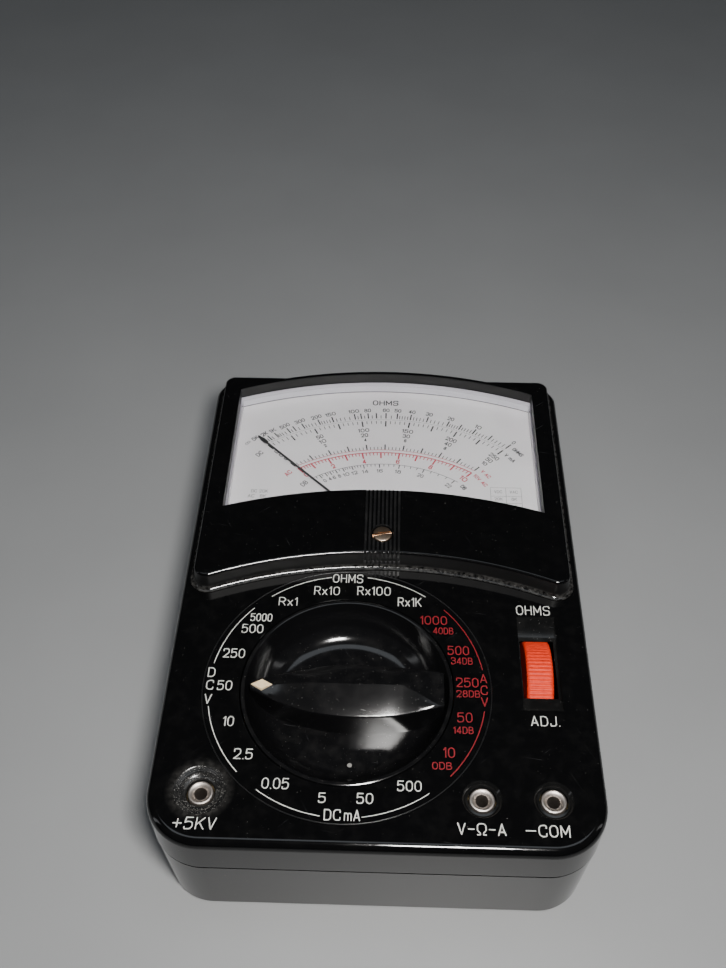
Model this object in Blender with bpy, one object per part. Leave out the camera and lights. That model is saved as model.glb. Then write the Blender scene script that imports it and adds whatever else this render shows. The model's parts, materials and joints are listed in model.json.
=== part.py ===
"""Pocket analog multimeter: case, meter movement, range switch, ohms adjuster, jacks and cells.

Sizes are in millimetres and become metres when a mesh is made. +Z points out of the panel, +Y towards the
meter head, and the origin is under the middle of the case, on the surface that the meter lies on.
"""
import math

import bmesh
import bpy
from mathutils import Matrix, Vector

MM = 0.001
GAP = 0.3  # between pieces that touch inside the case
SEAM = 0.1  # between the pieces that show a fine seam

# Case
HALF_WIDTH = 46.0
HALF_LENGTH = 66.5
LOW_CORNER = 11.7  # plan radius of the corners at the jack end
HIGH_CORNER = 6.0  # plan radius of the corners at the meter end
PANEL_Z = 31.0
PANEL_THICK = 2.5
PANEL_EDGE = 1.9
PARTING_Z = 20.8
WALL = 2.2
REBATE = 1.2
FLOOR = 2.2
CEILING_Z = PANEL_Z - PANEL_THICK

# Meter cover
COVER_Z = 36.0
COVER_CEILING_Z = 33.3
COVER_HALF = 43.0
COVER_FOOT = 1.3
LIP_RADIUS = 106.25
LIP_CENTRE_Y = 2.5 - LIP_RADIUS
LIP_CORNER = 2.8
BACK_CORNER = 2.5
BACK_LOW_Y = 65.8
BACK_HIGH_Y = 62.4
ARCH_RADIUS = 109.0
ARCH_CENTRE_Y = 64.3 - ARCH_RADIUS
ARCH_RIM = 1.2
WINDOW_HALF = 38.6
WINDOW_LOW_RADIUS = 122.0
WINDOW_LOW_CENTRE_Y = 22.2 - WINDOW_LOW_RADIUS
GROOVES = 9
GROOVE_PITCH = 0.98

# Meter movement
PIVOT = (0.0, 13.0)
POINTER_Z = 30.5
POINTER_REST = 45.9  # degrees left of straight up the scale
POINTER_LENGTH = 46.3
CORE_RADIUS = 6.5
BORE_RADIUS = 9.2
POLE_LOW, POLE_HIGH = 13.0, 25.0
ZERO_SCREW = (0.0, 8.4)
ZERO_PIN_THROW = 1.0

# Range switch
KNOB = (-6.83, -30.5)
KNOB_RADIUS = 22.8
KNOB_LOW_Z = 20.6
BOWL_RADIUS = 21.9
BOWL_FLOOR_Z = 22.7
BOWL_FLAT = 12.0
BAR_MIDDLE = 1.5
RIDGE_END = 11.6
POSITIONS = 18
BOARD_LOW, BOARD_HIGH = 13.0, 14.6
STUD_RADIUS = 13.0
BOARD_POSTS = ((-33.0, -9.0), (16.8, -8.0))

# Ohms adjuster
WHEEL = (34.78, -23.75, 20.8)
WHEEL_RADIUS = 11.0
WHEEL_HALF = 3.15
WHEEL_RIDGES = 30
BRACKET_PEGS = ((19.9, -27.6), (19.9, -19.9))

# Jacks: name, place on the panel, depth of the metal rim below the panel
JACKS = (("volt_ohm", (21.0, -55.3), 0.4), ("common", (35.2, -55.2), 0.4), ("5kv", (-35.2, -54.9), 1.4))
JACK_RADIUS = 2.6
JACK_BORE = 1.05

CASE_SCREWS = ((-39.0, -42.0), (39.0, -42.0), (-39.3, 60.0), (39.3, 60.0))
CELL_RADIUS = 7.0
CELL_ROWS = (40.0, 55.0)

BLACK = ((0.012, 0.012, 0.013), 0.18, 0.0)
BRASS = ((0.72, 0.53, 0.25), 0.3, 1.0)
NICKEL = ((0.72, 0.70, 0.66), 0.25, 1.0)
STEEL = ((0.55, 0.55, 0.57), 0.35, 1.0)
IRON = ((0.30, 0.30, 0.32), 0.5, 1.0)
BAKELITE = ((0.30, 0.16, 0.07), 0.5, 0.0)


def clear_scene():
    for old in list(bpy.data.objects):
        bpy.data.objects.remove(old)


def add_object(name, bm, finish=None, parent=None, place=None, sharp=32):
    """Makes an object from a bmesh in millimetres; finish is (colour, roughness, metallic)."""
    bmesh.ops.recalc_face_normals(bm, faces=bm.faces)
    bmesh.ops.scale(bm, vec=(MM, MM, MM), verts=bm.verts)
    mesh = bpy.data.meshes.new(name)
    bm.to_mesh(mesh)
    bm.free()
    mesh.shade_smooth()
    mesh.set_sharp_from_angle(angle=math.radians(sharp))
    body = bpy.data.objects.new(name, mesh)
    bpy.context.collection.objects.link(body)
    if parent:
        body.parent = parent
    if place:
        body.matrix_local = place
    if finish:
        body.data.materials.append(material(name, *finish))
    return body


def material(name, colour, roughness, metallic, alpha=1.0):
    made = bpy.data.materials.new(name)
    made.use_nodes = True
    shader = made.node_tree.nodes["Principled BSDF"]
    shader.inputs["Base Color"].default_value = (*colour, 1)
    shader.inputs["Roughness"].default_value = roughness
    shader.inputs["Metallic"].default_value = metallic
    shader.inputs["Alpha"].default_value = alpha
    return made


def axis_empty(name, x, y, z=0.0):
    empty = bpy.data.objects.new(name, None)
    empty.location = Vector((x, y, z)) * MM
    bpy.context.collection.objects.link(empty)
    return empty


def at(x, y, z=0.0, turn=None):
    """A placing matrix: millimetres, with an optional rotation matrix."""
    moved = Matrix.Translation(Vector((x, y, z)) * MM)
    return moved @ turn.to_4x4() if turn else moved


ALONG_X = Matrix.Rotation(math.radians(90), 3, "Y")
ALONG_Y = Matrix.Rotation(math.radians(-90), 3, "X")


def cutter(body):
    body.hide_render = True
    body.display_type = "WIRE"
    return body


def carve(body, tool, operation="DIFFERENCE"):
    change = body.modifiers.new(tool.name, "BOOLEAN")
    change.operation = operation
    change.solver = "EXACT"
    change.object = cutter(tool)


def arc(centre, radius, start, end, steps):
    """Points on an arc, in degrees, both ends included."""
    return [
        (centre[0] + radius * math.cos(math.radians(a)), centre[1] + radius * math.sin(math.radians(a)))
        for a in (start + (end - start) * i / steps for i in range(steps + 1))
    ]


def loft(sections):
    """A closed solid through rings with equal point counts; each section is (outline, z)."""
    bm = bmesh.new()
    rings = [[bm.verts.new((x, y, z)) for x, y in outline] for outline, z in sections]
    count = len(rings[0])
    for low, high in zip(rings, rings[1:]):
        for i in range(count):
            j = (i + 1) % count
            bm.faces.new((low[i], low[j], high[j], high[i]))
    bm.faces.new(rings[0])
    bm.faces.new(rings[-1])
    return bm


def prism(outline, low, high):
    return loft([(outline, low), (outline, high)])


def turned(profile, steps=24):
    """A solid turned about Z. A profile that meets the axis starts and ends at radius 0; else it is a ring."""
    bm = bmesh.new()
    points = [bm.verts.new((radius, 0, z)) for radius, z in profile]
    edges = [bm.edges.new(pair) for pair in zip(points, points[1:])]
    if profile[0][0] > 0:
        edges.append(bm.edges.new((points[-1], points[0])))
    bmesh.ops.spin(bm, geom=points + edges, axis=(0, 0, 1), cent=(0, 0, 0), steps=steps,
                   angle=math.tau, use_merge=True)
    bmesh.ops.remove_doubles(bm, verts=bm.verts, dist=1e-5)
    return bm


def rod(radius, low, high, steps=16):
    return turned([(0, low), (radius, low), (radius, high), (0, high)], steps)


def block(x, y, z):
    """A box from its ranges on X, Y and Z."""
    return prism([(x[0], y[0]), (x[1], y[0]), (x[1], y[1]), (x[0], y[1])], *z)


def merged(parts):
    """One bmesh from several; the parts touch nothing, or are joined later by a union."""
    whole = bmesh.new()
    for part in parts:
        piece = bpy.data.meshes.new("part")
        part.to_mesh(piece)
        part.free()
        whole.from_mesh(piece)
        bpy.data.meshes.remove(piece)
    return whole


def moved(bm, x=0.0, y=0.0, z=0.0, turn=None):
    if turn:
        bmesh.ops.rotate(bm, verts=bm.verts, cent=(0, 0, 0), matrix=turn)
    bmesh.ops.translate(bm, verts=bm.verts, vec=(x, y, z))
    return bm


def case_outline(inset):
    """The case in plan, moved in by inset: large corners at the jack end, small ones at the meter end."""
    half, length = HALF_WIDTH - inset, HALF_LENGTH - inset
    low, high = LOW_CORNER - inset, HIGH_CORNER - inset
    return (
        arc((-half + low, -length + low), low, 180, 270, 8)
        + arc((half - low, -length + low), low, 270, 360, 8)
        + arc((half - high, length - high), high, 0, 90, 5)
        + arc((-half + high, length - high), high, 90, 180, 5)
    )


def slot_pocket():
    """The shallow recess around the wheel, its ends sloping up to the panel."""
    left, right = 30.65, 39.1
    floor = PANEL_Z - 1.5
    side = [(-35.1, PANEL_Z + 1), (-35.1, PANEL_Z), (-32.0, floor), (-15.5, floor), (-11.1, PANEL_Z),
            (-11.1, PANEL_Z + 1)]
    across = loft([([(y, z) for y, z in side], left), ([(y, z) for y, z in side], right)])
    for vertex in across.verts:
        vertex.co = (vertex.co.z, vertex.co.x, vertex.co.y)
    return across


def jack_recess(name, depth):
    """What the panel loses at a jack: a chamfered seat, much wider for the high-voltage jack."""
    rim = PANEL_Z - depth
    if name == "5kv":
        steps = [(0, PANEL_Z + 1), (5.2, PANEL_Z + 1), (5.2, PANEL_Z - 0.15), (4.5, PANEL_Z - 0.6), (4.1, PANEL_Z - 0.7),
                 (3.4, rim + 0.1)]
    else:
        steps = [(0, PANEL_Z + 1), (3.9, PANEL_Z + 1), (3.9, PANEL_Z - 0.1), (3.35, PANEL_Z - 0.7)]
    return turned(steps + [(JACK_RADIUS + GAP, rim - 0.3), (JACK_RADIUS + GAP, CEILING_Z - 1),
                           (0, CEILING_Z - 1)], 20)


def panel_opening():
    """The hole in the panel under the meter cover."""
    side, step, low, middle = 39.9, 15.5, 4.5, 15.0
    back = arc((0, ARCH_CENTRE_Y), ARCH_RADIUS + 0.6, 90 - 21.3, 90 + 21.3, 10)
    return prism([(-step, low), (step, low), (step, middle), (side, middle)] + back
                 + [(-side, middle), (-step, middle)], CEILING_Z - 1, PANEL_Z + 1)


def make_front_case():
    fillet = [math.radians(a) for a in (0, 18, 36, 54, 72, 90)]
    outside = [(case_outline(PANEL_EDGE * (1 - math.cos(a))), PANEL_Z - PANEL_EDGE * (1 - math.sin(a)))
               for a in fillet]
    body = add_object("front_case", loft(
        [(case_outline(WALL), CEILING_Z), (case_outline(WALL), PARTING_Z + 1.8),
         (case_outline(REBATE), PARTING_Z + 1.8), (case_outline(REBATE), PARTING_Z),
         (case_outline(0), PARTING_Z)] + outside), BLACK)
    posts = [moved(rod(3.2, 12.3, CEILING_Z + 0.5, 12), x, y) for x, y in CASE_SCREWS]
    posts += [moved(rod(2.6, BOARD_HIGH + GAP, CEILING_Z + 0.5, 12), x, y) for x, y in BOARD_POSTS]
    posts += [moved(rod(0.9, 27.0, CEILING_Z + 0.5, 8), *peg) for peg in BRACKET_PEGS]
    carve(body, add_object("case_posts", merged(posts)), "UNION")
    holes = [moved(rod(1.7, 10, 24, 10), x, y) for x, y in CASE_SCREWS]
    holes += [moved(rod(1.3, 10, 24, 10), x, y) for x, y in BOARD_POSTS]
    holes += [moved(rod(1.5, CEILING_Z - 1, PANEL_Z + 1, 10), x, 9.0) for x in (-26, 26)]
    carve(body, add_object("post_holes", merged(holes)))
    carve(body, add_object("knob_hole", moved(rod(KNOB_RADIUS + GAP, 25, 33, 48), *KNOB)))
    carve(body, add_object("meter_hole", panel_opening()))
    carve(body, add_object("wheel_pocket", slot_pocket()))
    carve(body, add_object("wheel_slot", block((31.1, 38.5), (-31.9, -15.6), (25, 33))))
    for name, (x, y), depth in JACKS:
        carve(body, add_object("jack_hole_" + name, moved(jack_recess(name, depth), x, y)))


def make_rear_case():
    low = PARTING_Z - GAP
    body = add_object("rear_case", loft(
        [(case_outline(1.7), 0), (case_outline(1.15), 0.7), (case_outline(0.4), low),
         (case_outline(REBATE + GAP), low), (case_outline(REBATE + GAP), low + 1.6),
         (case_outline(WALL + GAP), low + 1.6), (case_outline(3.2), FLOOR)]), BLACK)
    sleeves = [moved(rod(3.7, FLOOR - 0.5, 12.0, 12), x, y) for x, y in CASE_SCREWS]
    carve(body, add_object("screw_sleeves", merged(sleeves)), "UNION")
    wells = [moved(turned([(0, -1), (3.1, -1), (3.1, 3.0), (1.7, 3.0), (1.7, 13), (0, 13)], 12), x, y)
             for x, y in CASE_SCREWS]
    carve(body, add_object("screw_wells", merged(wells)))
    for i, (x, y) in enumerate(CASE_SCREWS):
        screw("case_screw_%d" % (i + 1), 2.8, 0.6, 2.7, 1.4, 20.0, at(x, y), STEEL)


def screw(name, head, head_low, head_high, shank, shank_end, place, finish, parent=None, angle=0.0):
    """A slotted screw whose head is the low end; shank_end is where its plain shank stops."""
    body = add_object(name, turned([(0, head_low), (head, head_low), (head, head_high), (shank, head_high),
                                    (shank, shank_end), (0, shank_end)], 12), finish, parent, place)
    deeper = 0.4 * (head_high - head_low)
    sign = 1 if head_high > head_low else -1
    span = sorted((head_low - sign * 0.5, head_low + deeper))
    slot = moved(block((-head - 1, head + 1), (-0.35, 0.35), span), turn=Matrix.Rotation(angle, 3, "Z"))
    carve(body, add_object(name + "_slot", slot, parent=parent, place=place))
    return body


def cover_outline(grow, back):
    """The meter cover in plan, grown by grow, with its back edge at back."""
    half, lip, corner, rear = COVER_HALF + grow, LIP_RADIUS - grow, LIP_CORNER + grow, BACK_CORNER + grow
    corner_x = half - corner
    corner_y = LIP_CENTRE_Y + math.sqrt((lip + corner) ** 2 - corner_x ** 2)
    touch = math.degrees(math.atan2(corner_y - LIP_CENTRE_Y, corner_x))
    return (
        arc((0, LIP_CENTRE_Y), lip, 180 - touch, touch, 20)[1:-1]
        + arc((corner_x, corner_y), corner, touch - 180, 0, 5)
        + arc((half - rear, back - rear), rear, 0, 90, 4)
        + arc((-half + rear, back - rear), rear, 90, 180, 4)
        + arc((-corner_x, corner_y), corner, 180, 360 - touch, 5)
    )


def window_outline(grow):
    """The window opening, grown by grow: an arc below, an arc above and straight sides."""
    half = WINDOW_HALF + grow
    low_radius, high_radius = WINDOW_LOW_RADIUS - grow, ARCH_RADIUS + grow
    low = math.degrees(math.asin(half / low_radius))
    high = math.degrees(math.asin(half / high_radius))
    return (arc((0, WINDOW_LOW_CENTRE_Y), low_radius, 90 + low, 90 - low, 16)
            + arc((0, ARCH_CENTRE_Y), high_radius, 90 - high, 90 + high, 16))


def cover_hollow():
    """The space under the cover: narrow over the movement, wide under the window."""
    narrow, wide, step = 20.0, WINDOW_HALF + 0.7, 14.8
    lip = arc((0, LIP_CENTRE_Y), LIP_RADIUS + 2.4, 107, 73, 12)
    low = [point for point in lip if abs(point[0]) < narrow]
    back = [point for point in arc((0, ARCH_CENTRE_Y), ARCH_RADIUS + 0.6, 68, 112, 16) if abs(point[0]) < wide]
    outline = ([(-narrow, low[0][1])] + low + [(narrow, low[-1][1]), (narrow, step), (wide, step),
               (wide, back[0][1])] + back + [(-wide, back[-1][1]), (-wide, step), (-narrow, step)])
    return prism(outline, PANEL_Z - 1, COVER_CEILING_Z)


def make_cover():
    base = PANEL_Z + SEAM
    curve = COVER_FOOT - 0.25
    rise = COVER_Z - base

    def section(grow, z):
        share = (z - base) / rise
        return cover_outline(grow, BACK_LOW_Y + share * (BACK_HIGH_Y - BACK_LOW_Y) + min(grow, 0.25) - 0.25), z

    foot = [section(COVER_FOOT - curve * math.sin(a), base + 0.15 + curve * (1 - math.cos(a)))
            for a in (math.radians(d) for d in (0, 30, 60, 90))]
    edge = [section(0.05 - 0.7 * (1 - math.cos(a)), COVER_Z - 0.7 * (1 - math.sin(a)))
            for a in (math.radians(d) for d in (0, 30, 60, 90))]
    body = add_object("meter_cover", loft([section(COVER_FOOT, base)] + foot + edge), BLACK)
    rim = ARCH_RADIUS + ARCH_RIM
    spread = math.degrees(math.asin(30 / rim))
    arch = (arc((0, ARCH_CENTRE_Y), rim, 90 - spread, 90 + spread, 16)
            + arc((0, ARCH_CENTRE_Y), ARCH_RADIUS - 3, 90 + spread, 90 - spread, 16))
    carve(body, add_object("arch", prism(arch, base + 0.2, COVER_Z - 0.02)), "UNION")
    carve(body, add_object("cover_hollow", cover_hollow()))
    carve(body, add_object("window_opening", prism(window_outline(0), PANEL_Z, COVER_Z + 1)))
    ribs = []
    for i in range(GROOVES):
        x = (i - (GROOVES - 1) / 2) * GROOVE_PITCH
        side = [(0.5, 32.4), (2.85, 32.4), (2.85, 35.65), (22.0, 35.65), (22.0, 37), (0.5, 37)]
        rib = loft([(side, x - 0.22), (side, x + 0.22)])
        for vertex in rib.verts:
            vertex.co = (vertex.co.z, vertex.co.x, vertex.co.y)
        ribs.append(rib)
    carve(body, add_object("grooves", merged(ribs)))
    bore = turned([(0, 37), (2.6, 37), (2.6, 34.6), (1.7, 34.6), (1.7, 32), (0, 32)], 24)
    carve(body, add_object("zero_bore", moved(bore, *ZERO_SCREW)))
    holes = merged([moved(rod(1.5, 30, 34, 10), x, 9.0) for x in (-26, 26)])
    carve(body, add_object("cover_screw_holes", holes))


def make_window_and_scale():
    high = COVER_CEILING_Z - SEAM
    pane = add_object("meter_window", prism(window_outline(0.3), PANEL_Z - 1.2, high),
                      ((0.93, 0.95, 0.95), 0.05, 0.0, 0.25))
    inner = window_outline(-0.2)
    low_points = [(x, y - 8) for x, y in inner[:17]]
    carve(pane, add_object("window_hollow", prism(low_points + inner[17:], PANEL_Z - 3, high - 1.0)))
    reach = math.degrees(math.asin(39.1 / (ARCH_RADIUS - 0.1)))
    outline = ([(-39.1, 15.5), (-15.0, 15.5)] + arc(PIVOT, 10.5, 154, 26, 8) + [(15.0, 15.5), (39.1, 15.5)]
               + arc((0, ARCH_CENTRE_Y), ARCH_RADIUS - 0.1, 90 - reach, 90 + reach, 16))
    plate = add_object("scale_plate", prism(outline, PANEL_Z - 2.0, PANEL_Z - 1.5), ((0.85, 0.84, 0.82), 0.45, 0.0))
    holes = merged([moved(rod(1.4, 28, 31, 10), x, 17.4) for x in (-30, 30)])
    carve(plate, add_object("plate_holes", holes))
    for side, x in (("left", -30), ("right", 30)):
        screw("scale_screw_" + side, 1.6, 30.6, 29.8, 1.1, 26.8, at(x, 17.4), BRASS)


def make_movement():
    """Everything of the moving-coil meter that stands still."""
    x0, y0 = PIVOT
    frame = add_object("movement_frame", block((-33, 33), (0.5, 28), (25.3, 27.3)), BAKELITE)
    posts = [moved(rod(2.0, 26, 28.7, 12), x, 17.4) for x in (-30, 30)]
    posts += [moved(rod(3.0, 26, CEILING_Z - GAP, 12), x, 9.0) for x in (-26, 26)]
    carve(frame, add_object("frame_posts", merged(posts)), "UNION")
    openings = [moved(rod(10.5, 24, 29, 24), x0, y0), block((-22, 22), (26.1, 29), (24, 29))]
    openings += [moved(rod(1.4, 24, 30, 10), x, 17.4) for x in (-30, 30)]
    openings += [moved(rod(1.5, 24, 30, 10), x, 9.0) for x in (-26, 26)]
    openings += [block((x - 1.8, x + 1.8), (y0 - 2.9, y0 + 2.9), (24, 29)) for x in (-12, 12)]
    for number, opening in enumerate(openings):
        carve(frame, add_object("frame_opening_%d" % number, opening))
    for side, x in (("left", -26), ("right", 26)):
        screw("movement_screw_" + side, 2.4, 23.4, 25.0, 1.2, 33.6, at(x, 9.0), STEEL)

    for side, sign in (("left", -1), ("right", 1)):
        ends = sorted((sign * 3.0, sign * 16.0))
        shoe = add_object("pole_shoe_" + side, block(ends, (y0 - 11.5, y0 + 11.5), (POLE_LOW, POLE_HIGH)), IRON)
        carve(shoe, add_object("pole_bore_" + side, moved(rod(BORE_RADIUS, 12, 26, 36), x0, y0)))
    arm, out = 16.3, 22.3
    horseshoe = [(-out, 1.5), (-arm, 1.5), (-arm, 27), (arm, 27), (arm, 1.5), (out, 1.5), (out, 29), (19.5, 31.8),
                 (-19.5, 31.8), (-out, 29)]
    add_object("magnet", prism(horseshoe, POLE_LOW, POLE_HIGH), ((0.20, 0.20, 0.22), 0.6, 0.6))
    add_object("iron_core", moved(rod(CORE_RADIUS, POLE_LOW, POLE_HIGH, 24), x0, y0), IRON)
    tee = [(-1.3, y0 + 6.8), (1.3, y0 + 6.8), (1.3, y0 + 11.8), (8, y0 + 11.8), (8, y0 + 12.8), (-8, y0 + 12.8),
           (-8, y0 + 11.8), (-1.3, y0 + 11.8)]
    add_object("core_support", prism(tee, 17, 21), BRASS)

    leg = 12.0
    top = [(-13.2, 28.4), (-10.8, 28.4), (-10.8, 31.5), (10.8, 31.5), (10.8, 28.4), (13.2, 28.4), (13.2, 32.1),
           (-13.2, 32.1)]
    low = [(-13.2, 12.7), (-10.8, 12.7), (-10.8, 9.2), (10.8, 9.2), (10.8, 12.7), (13.2, 12.7), (13.2, 8.4),
           (-13.2, 8.4)]
    for name, outline, span in (("upper_bridge", top, 2.5), ("lower_bridge", low, 2.5)):
        bridge = loft([(outline, -span), (outline, span)])
        for vertex in bridge.verts:
            vertex.co = (vertex.co.x, y0 + vertex.co.z, vertex.co.y)
        made = add_object(name, bridge, BRASS)
        seat = rod(1.3, 31, 34, 16) if name == "upper_bridge" else turned([(0, 8.7), (1.0, 9.4), (0, 9.4)], 12)
        carve(made, add_object(name + "_seat", moved(seat, x0, y0)))
    feet = merged([block((x - 1.4, x + 1.4), (y0 - 2.5, y0 + 2.5), (POLE_HIGH + GAP, 28.6)) for x in (-leg, leg)])
    carve(bpy.data.objects["upper_bridge"], add_object("bridge_feet", feet), "UNION")
    jewel = [(0, 31.95), (0.5, 31.5), (1.0, 31.5), (1.0, 32.8), (0.8, 33.0), (0, 33.0)]
    add_object("upper_jewel", turned(jewel, 12), BRASS, place=at(x0, y0))


def spiral(inner, outer, turns, low, high, width=0.18, steps=12):
    """A flat hairspring."""
    near, far = [], []
    for i in range(int(turns * steps) + 1):
        angle = math.tau * i / steps
        radius = inner + (outer - inner) * i / (turns * steps)
        near.append(((radius - width / 2) * math.cos(angle), (radius - width / 2) * math.sin(angle)))
        far.append(((radius + width / 2) * math.cos(angle), (radius + width / 2) * math.sin(angle)))
    return prism(near + far[::-1], low, high)


def make_coil():
    """What turns with the pointer, built about the pivot with the pointer straight up the scale."""
    axis = axis_empty("pointer_axis", *PIVOT)
    axis.rotation_euler.z = math.radians(POINTER_REST)
    frame = [(-8.4, 11.6), (8.4, 11.6), (8.4, 26.4), (-8.4, 26.4)]
    inside = [(-7.2, 12.6), (7.2, 12.6), (7.2, 25.4), (-7.2, 25.4)]
    coil = bmesh.new()
    rings = [[coil.verts.new((x, y, z)) for x, z in ring] for ring, y in
             ((frame, -2.3), (frame, 2.3), (inside, 2.3), (inside, -2.3))]
    for a, b in zip(rings, rings[1:] + rings[:1]):
        for i in range(4):
            j = (i + 1) % 4
            coil.faces.new((a[i], a[j], b[j], b[i]))
    add_object("moving_coil", coil, ((0.55, 0.22, 0.10), 0.35, 0.9), axis)
    upper = [(0, 26.7), (1.1, 26.7), (1.1, 27.6), (0.45, 27.6), (0.45, 31.1), (0, 31.65)]
    lower = [(0, 9.05), (0.45, 9.75), (0.45, 10.9), (1.1, 10.9), (1.1, 11.3), (0, 11.3)]
    add_object("upper_staff", turned(upper, 10), STEEL, axis)
    add_object("lower_staff", turned(lower, 10), STEEL, axis)
    add_object("upper_hairspring", spiral(0.85, 3.3, 3, 31.0, 31.2), BRASS, axis)
    add_object("lower_hairspring", spiral(0.85, 3.3, 3, 10.2, 10.6), BRASS, axis)
    low, high = POINTER_Z, POINTER_Z + 0.25
    tip, spade = POINTER_LENGTH, POINTER_LENGTH - 3.2
    outline = ([(0.2, tip), (-0.2, tip), (-0.55, spade + 0.9), (-0.2, spade), (-0.22, 1.9)] + arc((0, 0), 1.9, 100, 170, 3)
               + [(-6.5, 0.35), (-6.5, -0.35)] + arc((0, 0), 1.9, 190, 255, 3) + [(-0.5, -6.8), (0.5, -6.8)]
               + arc((0, 0), 1.9, 285, 350, 3) + [(6.5, -0.35), (6.5, 0.35)] + arc((0, 0), 1.9, 10, 80, 3)
               + [(0.22, 1.9), (0.2, spade), (0.55, spade + 0.9)])
    pointer = add_object("pointer", prism(outline, low, high), ((0.01, 0.01, 0.01), 0.5, 0.0), axis)
    carve(pointer, add_object("pointer_eye", rod(0.75, 29, 32, 12), parent=axis))


def make_zero_adjuster():
    axis = axis_empty("zero_axis", *ZERO_SCREW)
    body = screw("zero_screw", 2.25, 35.9, 34.9, 1.2, 33.0, None, BRASS, axis, math.radians(8))
    pin = moved(rod(0.35, 32.3, 33.4, 8), 0, ZERO_PIN_THROW)
    carve(body, add_object("zero_pin", pin, parent=axis), "UNION")
    lever_axis = axis_empty("zero_lever_axis", *PIVOT)
    y_pin = ZERO_SCREW[1] + ZERO_PIN_THROW - PIVOT[1]
    outer = arc((0, 0), 2.6, -60, 240, 14)
    fork = [(-1.3, y_pin + 0.5), (-1.3, y_pin - 1.2), (-0.65, y_pin - 1.2), (-0.65, y_pin + 0.9),
            (0.65, y_pin + 0.9), (0.65, y_pin - 1.2), (1.3, y_pin - 1.2), (1.3, y_pin + 0.5)]
    lever = add_object("zero_lever", prism(outer + fork, 32.4, 32.8), STEEL, lever_axis)
    carve(lever, add_object("lever_eye", rod(1.3, 31, 34, 16), parent=lever_axis))


def bar_half_width(s):
    """Half the width of the finger bar at s along it; it is pointed at one end and blunt at the other."""
    spread = 5.6 / 22.0 ** 2 if s < BAR_MIDDLE else 2.4 / 19.1 ** 2
    return 6.5 - spread * (s - BAR_MIDDLE) ** 2


def blend(value, start, end):
    share = min(max((value - start) / (end - start), 0.0), 1.0)
    return share * share * (3 - 2 * share)


def finger_bar():
    """The bar across the knob: a low roof on upright walls, with a flat hip at the blunt end."""
    stations = [-20.8 + 41.6 * i / 20 for i in range(21)]
    sections = []
    for s in stations:
        half = bar_half_width(s)
        tent = 32.4 - 1.4 * blend(-s, 5, 19.5)
        crest = min(tent, 32.4 - 0.15 * (s - RIDGE_END))
        edge = min(29.9 + 1.2 * blend(s, 9, 20) + 0.8 * blend(-s, 8, 20.8), crest - 0.15)
        flat = max(half * (tent - crest) / (tent - edge), 0.12)
        roof = [(half, edge - 0.2), (half - 0.15, edge), (flat, crest), (-flat, crest), (-half + 0.15, edge),
                (-half, edge - 0.2)]
        sections.append(([(-half - 0.35, 22.2)] + [(half + 0.35, 22.2)] + roof, s))
    bar = loft(sections)
    for vertex in bar.verts:
        vertex.co = (vertex.co.z, vertex.co.x, vertex.co.y)
    return bar


def bowl_height(radius):
    """The bowl's surface: a flat floor that sweeps up to the rim."""
    share = max(0.0, (radius - BOWL_FLAT) / (BOWL_RADIUS - BOWL_FLAT))
    return BOWL_FLOOR_Z + (PANEL_Z - 0.15 - BOWL_FLOOR_Z) * share ** 3.4


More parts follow.
